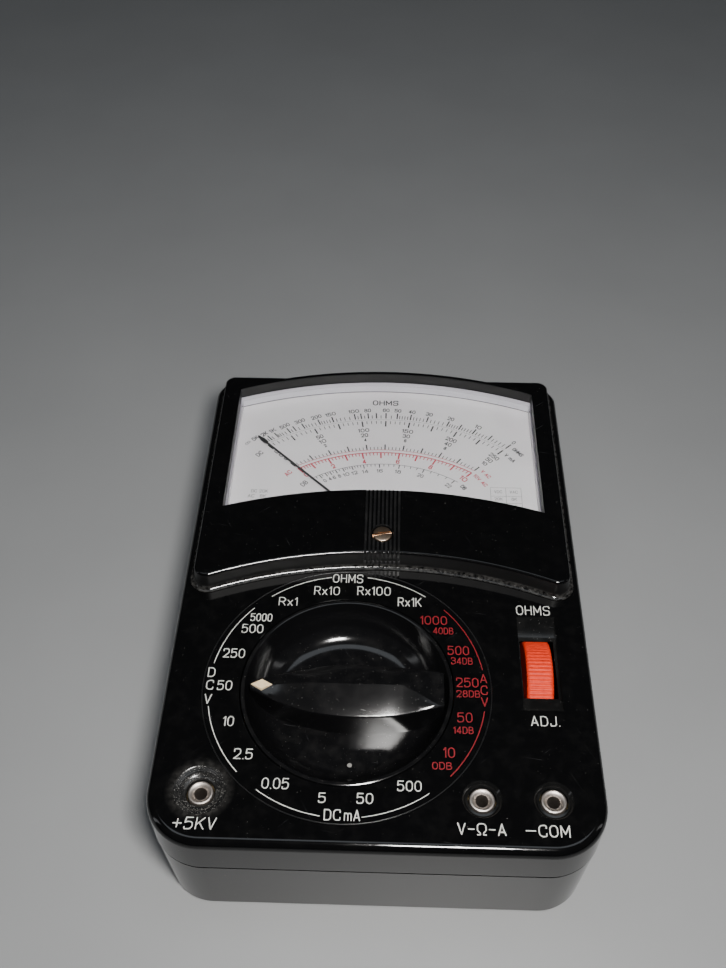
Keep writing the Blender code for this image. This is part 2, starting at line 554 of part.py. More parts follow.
def make_knob():
    axis = axis_empty("selector_axis", *KNOB)
    bowl = [(radius, bowl_height(radius)) for radius in (BOWL_RADIUS, 21.3, 20.5, 19.5, 18.3, 17.0, 15.5, BOWL_FLAT, 0)]
    side = [(0, KNOB_LOW_Z), (15, KNOB_LOW_Z), (21, 25.6), (KNOB_RADIUS, 26.8), (KNOB_RADIUS, PANEL_Z - 0.15),
            (KNOB_RADIUS - 0.2, PANEL_Z), (BOWL_RADIUS + 0.15, PANEL_Z)]
    knob = add_object("range_knob", turned(side + bowl, 44), ((0.012, 0.012, 0.013), 0.2, 0.0), axis, sharp=40)
    carve(knob, add_object("finger_bar", finger_bar(), parent=axis), "UNION")
    carve(knob, add_object("shaft_socket", rod(3.3, 19, 27.3), parent=axis))
    diamond = [(-20.6, 0), (-18.3, -1.25), (-16.0, 0), (-18.3, 1.25)]
    wider = [(-18.3 + 1.12 * (x + 18.3), 1.12 * y) for x, y in diamond]
    carve(knob, add_object("inlay_recess", prism(wider, 30.3, 33), parent=axis))
    add_object("knob_inlay", prism(diamond, 30.5, 31.35), ((0.80, 0.70, 0.52), 0.5, 0.0), axis)

    add_object("switch_shaft", turned([(0, 6.0), (2.6, 6.0), (3.0, 6.4), (3.0, 27.0), (0, 27.0)], 20), BRASS, axis)
    rotor = turned([(3.3, 17.0), (16.0, 17.0), (16.0, 18.6), (5.5, 18.6), (5.5, 20.2), (3.3, 20.2)], 28)
    add_object("switch_rotor", rotor, BAKELITE, axis)
    wiper = prism([(-1.2, 3.8), (1.2, 3.8), (1.2, 14.2), (-1.2, 14.2)], 16.2, 16.6)
    spring_arm = add_object("wiper", wiper, BRASS, axis)
    carve(spring_arm, add_object("wiper_ring", rod(5.4, 16.2, 16.6, 20), parent=axis), "UNION")
    foot = moved(turned([(0, 15.6), (0.9, 15.7), (1.1, 16.4), (0, 16.4)], 12), 0, STUD_RADIUS)
    carve(spring_arm, add_object("wiper_foot", foot, parent=axis), "UNION")
    carve(spring_arm, add_object("wiper_eye", rod(3.3, 15, 18), parent=axis))

    star = []
    for i in range(POSITIONS):
        middle = math.tau * i / POSITIONS
        for part, radius in ((-0.22, 9.0), (0.22, 9.0), (0.5, 8.1)):
            angle = middle + part * math.tau / POSITIONS
            star.append((radius * math.cos(angle), radius * math.sin(angle)))
    wheel = add_object("detent_wheel", prism(star, 9.4, 11.0), STEEL, axis)
    carve(wheel, add_object("detent_eye", rod(3.3, 8, 12), parent=axis))
    ball = [(1.5 * math.sin(math.radians(a)), -1.5 * math.cos(math.radians(a))) for a in range(0, 181, 30)]
    ball[0], ball[-1] = (0, -1.5), (0, 1.5)
    x, y = KNOB
    add_object("detent_ball", moved(turned(ball, 12), x, y - 10.75, 10.2), STEEL)
    leaf = [(x - 12, y - 12.6), (x + 12, y - 12.6), (x + 12, y - 13.1), (x - 12, y - 13.1)]
    spring = add_object("detent_spring", prism(leaf, 8.6, 11.6), ((0.45, 0.42, 0.38), 0.35, 1.0))
    tab = block((x - 12, x - 9), (y - 13.1, y - 12.6), (11, 12.7))
    carve(spring, add_object("detent_tab", tab), "UNION")


def make_board():
    x, y = KNOB
    outline = [(-35.5, -49), (19.5, -49), (20.5, -48), (20.5, -4), (-37, -4), (-37, -38.2), (-35.5, -38.2)]
    board = add_object("circuit_board", prism(outline, BOARD_LOW, BOARD_HIGH), BAKELITE)
    studs = []
    for i in range(POSITIONS):
        angle = math.tau * i / POSITIONS
        studs.append(moved(rod(1.1, BOARD_HIGH - 0.3, BOARD_HIGH + 0.6, 6),
                           x + STUD_RADIUS * math.cos(angle), y + STUD_RADIUS * math.sin(angle)))
    carve(board, add_object("studs", merged(studs)), "UNION")
    holes = [moved(rod(3.3, 12, 16), x, y)] + [moved(rod(1.4, 12, 16, 10), *post) for post in BOARD_POSTS]
    carve(board, add_object("board_holes", merged(holes)))
    for number, post in enumerate(BOARD_POSTS):
        screw("board_screw_%d" % (number + 1), 2.3, 11.3, 12.8, 1.0, 21.5, at(*post), STEEL)


def make_components():
    """Multiplier resistors, the rectifier and the shunt bobbin, lying on the board."""
    body = [(0, -7.5), (0.3, -7.5), (0.3, -3.4), (1.1, -3.4), (1.6, -2.9), (1.6, 2.9), (1.1, 3.4), (0.3, 3.4),
            (0.3, 7.5), (0, 7.5)]
    z = BOARD_HIGH + 2.0
    spots = ((-27.5, -45.0), (11.0, -45.5))
    for number, (x, y) in enumerate(spots):
        place = at(x, y, z, ALONG_X)
        add_object("resistor_%d" % (number + 1), turned(body, 10), ((0.45, 0.30, 0.16), 0.5, 0.0), place=place)
    add_object("rectifier", moved(block((-3.5, 3.5), (-2.2, 2.2), (0, 4.6)), 9.6, -12.4, BOARD_HIGH + GAP),
               ((0.05, 0.05, 0.05), 0.4, 0.0))
    bobbin = [(1.6, 0), (4.4, 0), (4.4, 0.8), (3.6, 0.8), (3.6, 5.2), (4.4, 5.2), (4.4, 6.0), (1.6, 6.0)]
    add_object("shunt_bobbin", turned(bobbin, 16), ((0.50, 0.24, 0.12), 0.4, 0.6),
               place=at(-20.5, -10.2, BOARD_HIGH + GAP))


def make_ohms_adjuster():
    axis = axis_empty("wheel_axis", *WHEEL)
    ring, root = WHEEL_RADIUS, WHEEL_RADIUS - 0.35
    teeth = []
    for i in range(WHEEL_RIDGES):
        for part, radius in ((0.0, ring), (0.5, ring), (0.65, root), (0.85, root)):
            angle = math.tau * (i + part) / WHEEL_RIDGES
            teeth.append((radius, angle))

    def outline(shrink):
        return [((r - shrink) * math.cos(a), (r - shrink) * math.sin(a)) for r, a in teeth]

    half = WHEEL_HALF
    wheel = loft([(outline(0.8), -half), (outline(0), -half + 0.8), (outline(0), half - 0.8), (outline(0.8), half)])
    turn = Matrix.Rotation(math.radians(90), 3, "Y")
    body = add_object("ohms_wheel", moved(wheel, turn=turn), ((0.75, 0.13, 0.03), 0.35, 0.0), axis, sharp=25)
    spindle = moved(rod(1.5, -13.2, -half + 0.5, 12), turn=turn)
    carve(body, add_object("wheel_spindle", spindle, parent=axis), "UNION")
    x, y, z = WHEEL
    can = turned([(1.8, -12.8), (6.4, -12.8), (6.4, -6.2), (1.8, -6.2)], 24)
    add_object("pot_body", can, ((0.10, 0.10, 0.10), 0.4, 0.0), place=at(x, y, z, ALONG_X))
    plate = [(-16.5, 27.6), (-16.5, 28.2), (-24.2 + 19.2, 28.2), (-5.0, 14.5), (-5.8, 14.5), (-5.8, 27.6)]
    bracket = loft([(plate, -7), (plate, 7)])
    for vertex in bracket.verts:
        vertex.co = (x + vertex.co.x, y + vertex.co.z, vertex.co.y)
    made = add_object("pot_bracket", bracket, STEEL)
    hole = add_object("bracket_hole", rod(1.8, -7, -4), place=at(x, y, z, ALONG_X))
    carve(made, hole)
    holes = merged([moved(rod(1.2, 27, 29, 8), *peg) for peg in BRACKET_PEGS])
    carve(made, add_object("peg_holes", holes))


def make_jacks():
    for name, (x, y), depth in JACKS:
        rim = PANEL_Z - depth
        tube = [(0, 16.5), (0, 15.0), (1.6, 15.0), (1.6, 20.0), (JACK_RADIUS - 0.2, 20.0), (JACK_RADIUS - 0.2, 24.4),
                (JACK_RADIUS, 24.4), (JACK_RADIUS, rim - 0.15), (JACK_RADIUS - 0.15, rim),
                (JACK_RADIUS - 0.45, rim), (JACK_RADIUS - 0.75, rim - 0.25), (JACK_BORE + 0.35, rim - 1.5),
                (JACK_BORE, rim - 2.3), (JACK_BORE, 17.5), (0, 17.5)]
        add_object("jack_" + name, turned(tube[1:], 18), NICKEL, place=at(x, y))
        hexagon = [(4.6 * math.cos(math.radians(a)), 4.6 * math.sin(math.radians(a))) for a in range(0, 360, 60)]
        nut = add_object("jack_nut_" + name, prism(hexagon, 25.6, 28.2), BRASS, place=at(x, y))
        carve(nut, add_object("nut_hole_" + name, rod(JACK_RADIUS + 0.2, 24, 30, 18), place=at(x, y)))


def make_battery():
    z = FLOOR + 1.1 + CELL_RADIUS
    tray_x, low, high = 27.3, 31.9, 63.0
    tray = add_object("battery_tray", block((-tray_x, tray_x), (low, high), (FLOOR + GAP, 11.5)), BAKELITE)
    bay = block((1 - tray_x, tray_x - 1), (low + 0.7, high - 0.7), (FLOOR + 0.8, 13))
    carve(tray, add_object("tray_bay", bay))
    cell = [(0, -25), (6.4, -25), (CELL_RADIUS, -24.4), (CELL_RADIUS, 23.2), (6.4, 24.0), (2.7, 24.0), (2.7, 25.2),
            (0, 25.2)]
    for name, y, turn in (("front", CELL_ROWS[0], ALONG_X), ("back", CELL_ROWS[1], ALONG_X.inverted())):
        add_object("battery_cell_" + name, turned(cell, 20), ((0.10, 0.18, 0.35), 0.35, 0.2),
                   place=at(0, y, z, turn))
    spring = ((0.75, 0.72, 0.62), 0.3, 1.0)
    mid = sum(CELL_ROWS) / 2
    add_object("battery_link", block((-26.0, -25.5), (mid - 12, mid + 12), (3.4, 15)), spring)
    add_object("battery_contact_plus", block((25.5, 26.0), (CELL_ROWS[0] - 5, CELL_ROWS[0] + 5), (3.4, 15)), spring)
    add_object("battery_contact_minus", block((25.5, 26.0), (CELL_ROWS[1] - 5, CELL_ROWS[1] + 5), (3.4, 15)), spring)


clear_scene()
make_front_case()
make_rear_case()
make_cover()
make_window_and_scale()
make_movement()
make_coil()
make_zero_adjuster()
make_knob()
make_board()
make_components()
make_ohms_adjuster()
make_jacks()
make_battery()
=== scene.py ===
import itertools
import json
import math

import bmesh
import bpy
from mathutils import Matrix, Vector


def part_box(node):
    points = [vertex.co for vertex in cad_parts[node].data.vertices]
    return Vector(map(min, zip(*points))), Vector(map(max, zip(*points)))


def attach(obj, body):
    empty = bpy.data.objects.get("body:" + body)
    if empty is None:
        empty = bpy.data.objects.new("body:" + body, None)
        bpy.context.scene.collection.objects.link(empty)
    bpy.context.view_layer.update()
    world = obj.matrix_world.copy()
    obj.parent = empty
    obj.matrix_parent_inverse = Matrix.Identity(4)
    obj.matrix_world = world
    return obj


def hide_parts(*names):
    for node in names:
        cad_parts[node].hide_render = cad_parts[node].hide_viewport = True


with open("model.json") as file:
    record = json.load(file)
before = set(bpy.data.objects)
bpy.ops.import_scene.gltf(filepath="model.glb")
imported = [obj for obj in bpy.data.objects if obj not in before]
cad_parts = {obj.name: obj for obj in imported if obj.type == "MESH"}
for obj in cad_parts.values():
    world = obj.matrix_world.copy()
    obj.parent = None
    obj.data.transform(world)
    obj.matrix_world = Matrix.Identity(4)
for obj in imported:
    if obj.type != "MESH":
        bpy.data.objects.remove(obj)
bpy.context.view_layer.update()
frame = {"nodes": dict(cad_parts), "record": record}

MM = 0.001


def span(node):
    """Lowest and highest corner of a CAD node, in millimetres."""
    low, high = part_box(node)
    return low / MM, high / MM


def middle(node):
    low, high = span(node)
    return (low.x + high.x) / 2, (low.y + high.y) / 2


# ---- Places and sizes, in millimetres, taken from the frame ----
case_high = span("front_case")[1]
cover_high = span("meter_cover")[1]
HALF_WIDTH = case_high.x
HALF_LENGTH = case_high.y
PANEL_Z = case_high.z
PANEL_THICK = 2.5
CEILING_Z = PANEL_Z - PANEL_THICK
PARTING_Z = PANEL_Z - 10.2
PANEL_EDGE = 1.9
LOW_CORNER = 11.7
HIGH_CORNER = 6.0
WALL = 2.2
REBATE = 1.2
FLOOR = 2.2
SEAM = 0.1

COVER_Z = cover_high.z
COVER_CEILING_Z = COVER_Z - 2.7
COVER_HALF = 43.0
COVER_FOOT = 1.3
LIP_RADIUS = 106.25
LIP_CENTRE_Y = 2.5 - LIP_RADIUS
LIP_CORNER = 2.8
BACK_CORNER = 2.5
BACK_LOW_Y = cover_high.y
BACK_HIGH_Y = BACK_LOW_Y - 3.4
ARCH_RADIUS = 109.0
ARCH_CENTRE_Y = 64.3 - ARCH_RADIUS
ARCH_RIM = 1.2
WINDOW_HALF = 38.6
WINDOW_LOW_RADIUS = 122.0
WINDOW_LOW_CENTRE_Y = 22.2 - WINDOW_LOW_RADIUS
GROOVES = 9
GROOVE_PITCH = 0.98

KNOB = middle("switch_shaft")
KNOB_RADIUS = 22.8
KNOB_LOW_Z = span("range_knob")[0].z
BOWL_RADIUS = 21.9
BOWL_FLOOR_Z = 22.7
BOWL_FLAT = 12.0
BAR_MIDDLE = 1.5
RIDGE_END = 11.6
DIAL_BEAD_RADIUS = 30.9
DIAL_ARC_RADIUS = 29.6

PIVOT = middle("upper_jewel")
SCALE_Z = span("scale_plate")[1].z
POINTER_Z = span("pointer")[0].z
POINTER_REST = 45.9
POINTER_LENGTH = 46.3
SCALE_START = -45.6
SCALE_SWEEP = 91.7
ZERO_SCREW = (0.0, 8.4)

wheel_low, wheel_high = span("ohms_wheel")
WHEEL_RADIUS = (wheel_high.z - wheel_low.z) / 2
WHEEL_HALF = 3.15
WHEEL = (wheel_high.x - WHEEL_HALF, (wheel_low.y + wheel_high.y) / 2, (wheel_low.z + wheel_high.z) / 2)

JACKS = {name: middle("jack_" + name) for name in ("volt_ohm", "common", "5kv")}
JACK_RIM = {name: span("jack_" + name)[1].z for name in JACKS}
JACK_LOW_Z = span("jack_common")[0].z
JACK_RADIUS = 2.6
CASE_SCREWS = [middle("case_screw_%d" % number) for number in (1, 2, 3, 4)]
BOARD_POSTS = [middle("board_screw_%d" % number) for number in (1, 2)]
COVER_SCREWS = [middle("movement_screw_" + side) for side in ("left", "right")]
SCALE_SCREWS = [middle("scale_screw_" + side) for side in ("left", "right")]


# ---- Mesh helpers: everything is drawn in millimetres and brought to metres in settle() ----
# Shapes that cut reach a little past what they cut, usually by 1 mm.
drafts = []


def add_object(name, bm, sharp=30, finish=None):
    bmesh.ops.recalc_face_normals(bm, faces=bm.faces)
    mesh = bpy.data.meshes.new(name)
    bm.to_mesh(mesh)
    bm.free()
    body = bpy.data.objects.new(name, mesh)
    bpy.context.scene.collection.objects.link(body)
    if finish:
        mesh.materials.append(finish)
        drafts.append((body, sharp, []))
    return body


def piece(name, bm, body, slot, stands_for=(), sharp=30, finish=None):
    """A shown piece that rides a CAD body and stands for CAD nodes; finish is for one unlike its slot's."""
    made = add_object(name, bm, sharp, finish or FINISH_OF_SLOT[slot])
    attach(made, body)
    if stands_for:
        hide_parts(*stands_for)
    return made


def carve(body, bm, operation="DIFFERENCE", finish=None):
    """Cuts or joins a shape; with a finish, the faces it leaves carry that material."""
    tool = add_object(body.name + "_tool", bm)
    if finish:
        tool.data.materials.append(finish)
    change = body.modifiers.new("cut", "BOOLEAN")
    change.operation = operation
    change.solver = "EXACT"
    change.material_mode = "TRANSFER" if finish else "INDEX"
    change.object = tool
    next(tools for draft, _, tools in drafts if draft == body).append(tool)


def settle():
    """Bakes the cuts, clears the cutters away, shades smooth between sharp edges and scales to metres."""
    bpy.context.view_layer.update()
    for body, sharp, tools in drafts:
        if tools:
            graph = bpy.context.evaluated_depsgraph_get()
            mesh = bpy.data.meshes.new_from_object(body.evaluated_get(graph), depsgraph=graph)
            body.modifiers.clear()
            body.data = mesh
            for tool in tools:
                bpy.data.objects.remove(tool)
        body.data.transform(Matrix.Scale(MM, 4))
        body.data.shade_smooth()
        body.data.set_sharp_from_angle(angle=math.radians(sharp))
        weighted = body.modifiers.new("weighted", "WEIGHTED_NORMAL")
        weighted.weight = 60
        weighted.keep_sharp = True


def arc(centre, radius, start, end, steps):
    """Points on an arc, in degrees, both ends included."""
    return [
        (centre[0] + radius * math.cos(math.radians(a)), centre[1] + radius * math.sin(math.radians(a)))
        for a in (start + (end - start) * i / steps for i in range(steps + 1))
    ]


def loft(sections):
    """A closed skin through (outline, z) sections that have equally many points."""
    bm = bmesh.new()
    rings = [[bm.verts.new((x, y, z)) for x, y in outline] for outline, z in sections]
    count = len(rings[0])
    for low, high in zip(rings, rings[1:]):
        for i in range(count):
            j = (i + 1) % count
            bm.faces.new((low[i], low[j], high[j], high[i]))
    bm.faces.new(rings[0])
    bm.faces.new(rings[-1])
    return bm


def prism(outline, low, high):
    return loft([(outline, low), (outline, high)])


def turned(profile, steps=64):
    """A closed profile of (radius, z) turned about Z; points on the axis become single vertices."""
    bm = bmesh.new()
    rings = []
    for radius, z in profile:
        if radius == 0:
            rings.append([bm.verts.new((0, 0, z))] * steps)
        else:
            rings.append([bm.verts.new((radius * math.cos(a), radius * math.sin(a), z))
                          for a in (math.tau * i / steps for i in range(steps))])
    pairs = list(zip(rings, rings[1:]))
    if profile[0][0] > 0:
        pairs.append((rings[-1], rings[0]))
    for low, high in pairs:
        for i in range(steps):
            j = (i + 1) % steps
            corners = []
            for vertex in (low[i], low[j], high[j], high[i]):
                if vertex not in corners:
                    corners.append(vertex)
            if len(corners) > 2:
                bm.faces.new(corners)
    return bm


def rod(radius, low, high, steps=32):
    return turned([(0, low), (radius, low), (radius, high), (0, high)], steps)


def block(x, y, z):
    return prism([(x[0], y[0]), (x[1], y[0]), (x[1], y[1]), (x[0], y[1])], *z)


def merged(parts):
    """Several shapes in one mesh."""
    whole = bmesh.new()
    for part in parts:
        mesh = bpy.data.meshes.new("part")
        part.to_mesh(mesh)
        part.free()
        whole.from_mesh(mesh)
        bpy.data.meshes.remove(mesh)
    return whole


def moved(bm, x=0.0, y=0.0, z=0.0, turn=None):
    """Turns a shape about the origin and then shifts it."""
    if turn:
        bmesh.ops.rotate(bm, verts=bm.verts, cent=(0, 0, 0), matrix=turn)
    bmesh.ops.translate(bm, verts=bm.verts, vec=(x, y, z))
    return bm


def along_x(bm):
    """Turns (y, z, x) sections into place, for shapes drawn in side view."""
    for vertex in bm.verts:
        vertex.co = (vertex.co.z, vertex.co.x, vertex.co.y)
    return bm


def rounded(profile):
    """A profile of (x, y, radius) corners as points; a corner with no radius stays sharp."""
    steps = 5
    points = []
    for before, corner, after in zip(profile[-1:] + profile[:-1], profile, profile[1:] + profile[:1]):
        here = Vector(corner[:2])
        if len(corner) < 3 or corner[2] == 0:
            points.append(tuple(here))
            continue
        back, on = Vector(before[:2]) - here, Vector(after[:2]) - here
        half = back.angle(on) / 2
        reach = min(corner[2] / math.tan(half), back.length * 0.499, on.length * 0.499)
        radius = reach * math.tan(half)
        centre = here + (back.normalized() + on.normalized()).normalized() * (radius / math.sin(half))
        first = here + back.normalized() * reach - centre
        last = here + on.normalized() * reach - centre
        turn = first.angle_signed(last)
        for i in range(steps + 1):
            points.append(tuple(centre + Matrix.Rotation(-turn * i / steps, 2) @ first))
    return points


# ---- Materials ----
class Finish:
    """A material in the making: its node tree and short ways to fill it, with lengths in millimetres."""

    def __init__(self, name):
        self.material = bpy.data.materials.new(name)
        self.material.use_nodes = True
        self.tree = self.material.node_tree
        self.shader = self.tree.nodes["Principled BSDF"]
        self.everywhere = self.coordinates()

    def feed(self, socket, value):
        """Links a socket to another one, or sets it to a number, a vector or a colour."""
        if isinstance(value, bpy.types.NodeSocket):
            self.tree.links.new(value, socket)
        elif socket.type == "RGBA":
            socket.default_value = (*value, 1)
        else:
            socket.default_value = value

    def show(self, name, value):
        self.feed(self.shader.inputs[name], value)

    def add(self, kind, inputs=(), **settings):
        """Adds a node. Its settings come first, because they decide which inputs it has."""
        node = self.tree.nodes.new("ShaderNode" + kind)
        for name, value in settings.items():
            setattr(node, name, value)
        for key, value in dict(inputs).items():
            self.feed(node.inputs[key], value)
        return node

    def ramp(self, value, start=0.0, end=1.0, low=0.0, high=1.0, **settings):
        """low where value is start and high where it is end."""
        limits = {"Value": value, "From Min": start, "From Max": end, "To Min": low, "To Max": high}
        return self.add("MapRange", limits, **settings).outputs["Result"]

    def math(self, operation, first, second):
        return self.add("Math", {0: first, 1: second}, operation=operation).outputs["Value"]

    def times(self, first, second):
        return self.math("MULTIPLY", first, second)

    def larger(self, first, second):
        return self.math("MAXIMUM", first, second)

    def mix(self, factor, first, second):
        """The first colour where factor is 0 and the second where it is 1."""
        inputs = {"Factor": factor, "A": first, "B": second}
        return self.add("Mix", inputs, data_type="RGBA").outputs["Result"]

    def upward_part(self, vector):
        return self.add("SeparateXYZ", {"Vector": vector}).outputs["Z"]

    def coordinates(self, scale=(1, 1, 1), turn=(0, 0, 0)):
        """Object coordinates in millimetres, turned and then squeezed by scale."""
        place = self.add("TexCoord").outputs["Object"]
        limits = {"Vector": place, "Scale": [MM / s for s in scale], "Rotation": turn}
        return self.add("Mapping", limits, vector_type="TEXTURE").outputs["Vector"]

    def near_axis(self, centre, full, none):
        """1 within full of an upright axis and 0 beyond none."""
        away = self.add("VectorMath", {0: self.everywhere, 1: (*centre, 0)}, operation="SUBTRACT")
        flat = self.add("VectorMath", {0: away.outputs["Vector"], 1: (1, 1, 0)}, operation="MULTIPLY")
        reach = self.add("VectorMath", {0: flat.outputs["Vector"]}, operation="LENGTH")
        return self.ramp(reach.outputs["Value"], none, full, interpolation_type="SMOOTHSTEP")

    def noise(self, scale, detail=3.0, low=0.0, high=1.0, vector=None):
        """Noise at scale per millimetre, sharpened so that low becomes 0 and high becomes 1."""
        cloud = self.add("TexNoise", {"Vector": vector or self.everywhere, "Scale": scale, "Detail": detail})
        return self.ramp(cloud.outputs["Fac"], low, high)

    def scratches(self, density):
        """Fine hairlines in three directions, 0 to 1."""
        found = None
        for turn, stretch in ((0.5, 0.035), (-0.9, 0.05), (1.4, 0.04)):
            vector = self.coordinates((1.0, stretch, 1.0), (0, 0, turn))
            lines = self.noise(2.4, 2.0, 0.735 - density, 0.80 - density, vector)
            found = self.larger(found, lines) if found else lines
        return found

    def upward(self, low, high):
        """0 on walls and 1 on faces that look up."""
        return self.ramp(self.upward_part(self.add("NewGeometry").outputs["Normal"]), low, high)

    def bump(self, height, strength, distance):
        inputs = {"Height": height, "Strength": strength, "Distance": distance * MM}
        self.show("Normal", self.add("Bump", inputs).outputs["Normal"])


def moulded_black(name, dust, roughness, colour, hairlines=0.0, worn=(), dull_walls=0.0, dusty_foot=None):
    """Glossy black plastic with handling marks, hairline scratches and settled dust.

    worn lists round patches as (centre, full radius, outer radius, strength), and dusty_foot is the height
    below which dust clings to the walls.
    """
    made = Finish(name)
    hazy = made.noise(0.055, 4.0, 0.35, 0.7)
    fine = made.noise(1.7, 3.0, 0.3, 0.8)
    lines = made.scratches(hairlines)
    specks = made.noise(3.1, 1.0, 0.79 - dust * 0.06, 0.83 - dust * 0.06)
    film = made.times(made.noise(0.4, 6.0, 0.45, 0.8), 0.035 * dust)
    settled = made.times(made.larger(made.times(specks, 0.45), film), made.upward(0.55, 0.98))
    for centre, full, none, strength in worn:
        mottled = made.ramp(made.noise(0.9, 6.0, 0.35, 0.7), low=0.25)
        patch = made.times(made.near_axis(centre, full, none), mottled)
        settled = made.larger(settled, made.times(patch, strength))
    if dusty_foot:
        foot = made.ramp(made.upward_part(made.everywhere), dusty_foot + 0.5, dusty_foot)
        streaky = made.noise(1.3, 6.0, 0.35, 0.7)
        settled = made.larger(settled, made.times(made.times(foot, streaky), 0.16))
    rough = made.ramp(hazy, low=roughness, high=roughness + 0.05)
    for mark, strength in ((lines, 0.35), (settled, 1.1), (fine, roughness * 1.3)):
        rough = made.larger(rough, made.times(mark, strength))
    if dull_walls:
        rough = made.larger(rough, made.ramp(made.upward(0.2, 0.6), low=dull_walls, high=0.0))
    made.show("Roughness", rough)
    marked = made.mix(made.times(lines, 0.25), colour, (0.05, 0.05, 0.052))
    made.show("Base Color", made.mix(settled, marked, (0.26, 0.25, 0.235)))
    made.show("IOR", 1.5)
    made.bump(made.larger(made.times(made.noise(0.30, 2.0), 0.5), lines), 0.2, 0.015)
    return made.material


def satin_metal(name, colour, roughness, tarnish=(0.25, 0.2, 0.13), wear=0.35, metallic=1.0):
    """Plated or drawn metal with a fine grain, and tarnished blotches that are duller."""
    made = Finish(name)
    blotches = made.noise(0.6, 5.0, 0.45, 0.75)
    grain = made.noise(6.0, 2.0, 0.3, 0.7)
    dull = made.larger(blotches, made.times(grain, 0.6))
    made.show("Base Color", made.mix(made.times(blotches, wear), colour, tarnish))
    made.show("Roughness", made.ramp(dull, low=roughness, high=roughness + 0.12))
    made.show("Metallic", metallic)
    made.bump(grain, 0.15, 0.01)
    return made.material


def plain_plastic(name, colour, darker, roughness, scale=0.8, coat=0.0, specular=0.5):
    """Plastic, card or paint in two shades of one colour, with a fine grain."""
    made = Finish(name)
    grain = made.noise(5.0, 3.0, 0.3, 0.7)
    made.show("Base Color", made.mix(made.noise(scale, 5.0, 0.4, 0.75), colour, darker))
    made.show("Roughness", made.ramp(grain, low=roughness, high=roughness + 0.15))
    made.show("Coat Weight", coat)
    made.show("Specular IOR Level", specular)
    made.bump(grain, 0.1, 0.01)
    return made.material


def clear_window(name):
    """Clear sheet that mirrors more at grazing angles, with faint smudges; its upright skirt gets a milky
    layer, painted light that stands in for the light the clear skirt catches.
    """
    made = Finish(name)
    made.tree.nodes.remove(made.shader)
    marks = made.larger(made.noise(0.12, 5.0, 0.45, 0.8), made.scratches(0.0))
    glass = made.add("BsdfTransparent", {"Color": (0.965, 0.975, 0.975)})
    # film is a milky diffuse layer: faint real haze on the smudges, and painted light on the skirt.
    film = made.add("BsdfDiffuse", {"Color": (0.80, 0.78, 0.84)})
    mirror = made.add("BsdfGlossy", {"Roughness": made.ramp(marks, low=0.03, high=0.16)})
    geometry = made.add("NewGeometry")
    front = made.math("SUBTRACT", 1, geometry.outputs["Backfacing"])
    shine = made.times(made.add("Fresnel", {"IOR": 1.49}).outputs["Fac"], front)
    level = made.add("Math", {0: made.upward_part(geometry.outputs["True Normal"])}, operation="ABSOLUTE")
    # Upright faces, the skirt, are made up to 0.85 milky: painted light for the light that the clear skirt
    # catches.
    skirt = made.ramp(level.outputs["Value"], 0.75, 0.35, high=0.85)
    smudges_and_painted_skirt_light = made.larger(made.ramp(marks, low=0.008, high=0.03), skirt)
    smudged_and_painted_skirt = made.add("MixShader", {0: smudges_and_painted_skirt_light, 1: glass.outputs["BSDF"], 2: film.outputs["BSDF"]})
    whole = made.add("MixShader", {0: shine, 1: smudged_and_painted_skirt.outputs["Shader"], 2: mirror.outputs["BSDF"]})
    made.feed(made.tree.nodes["Material Output"].inputs["Surface"], whole.outputs["Shader"])
    return made.material


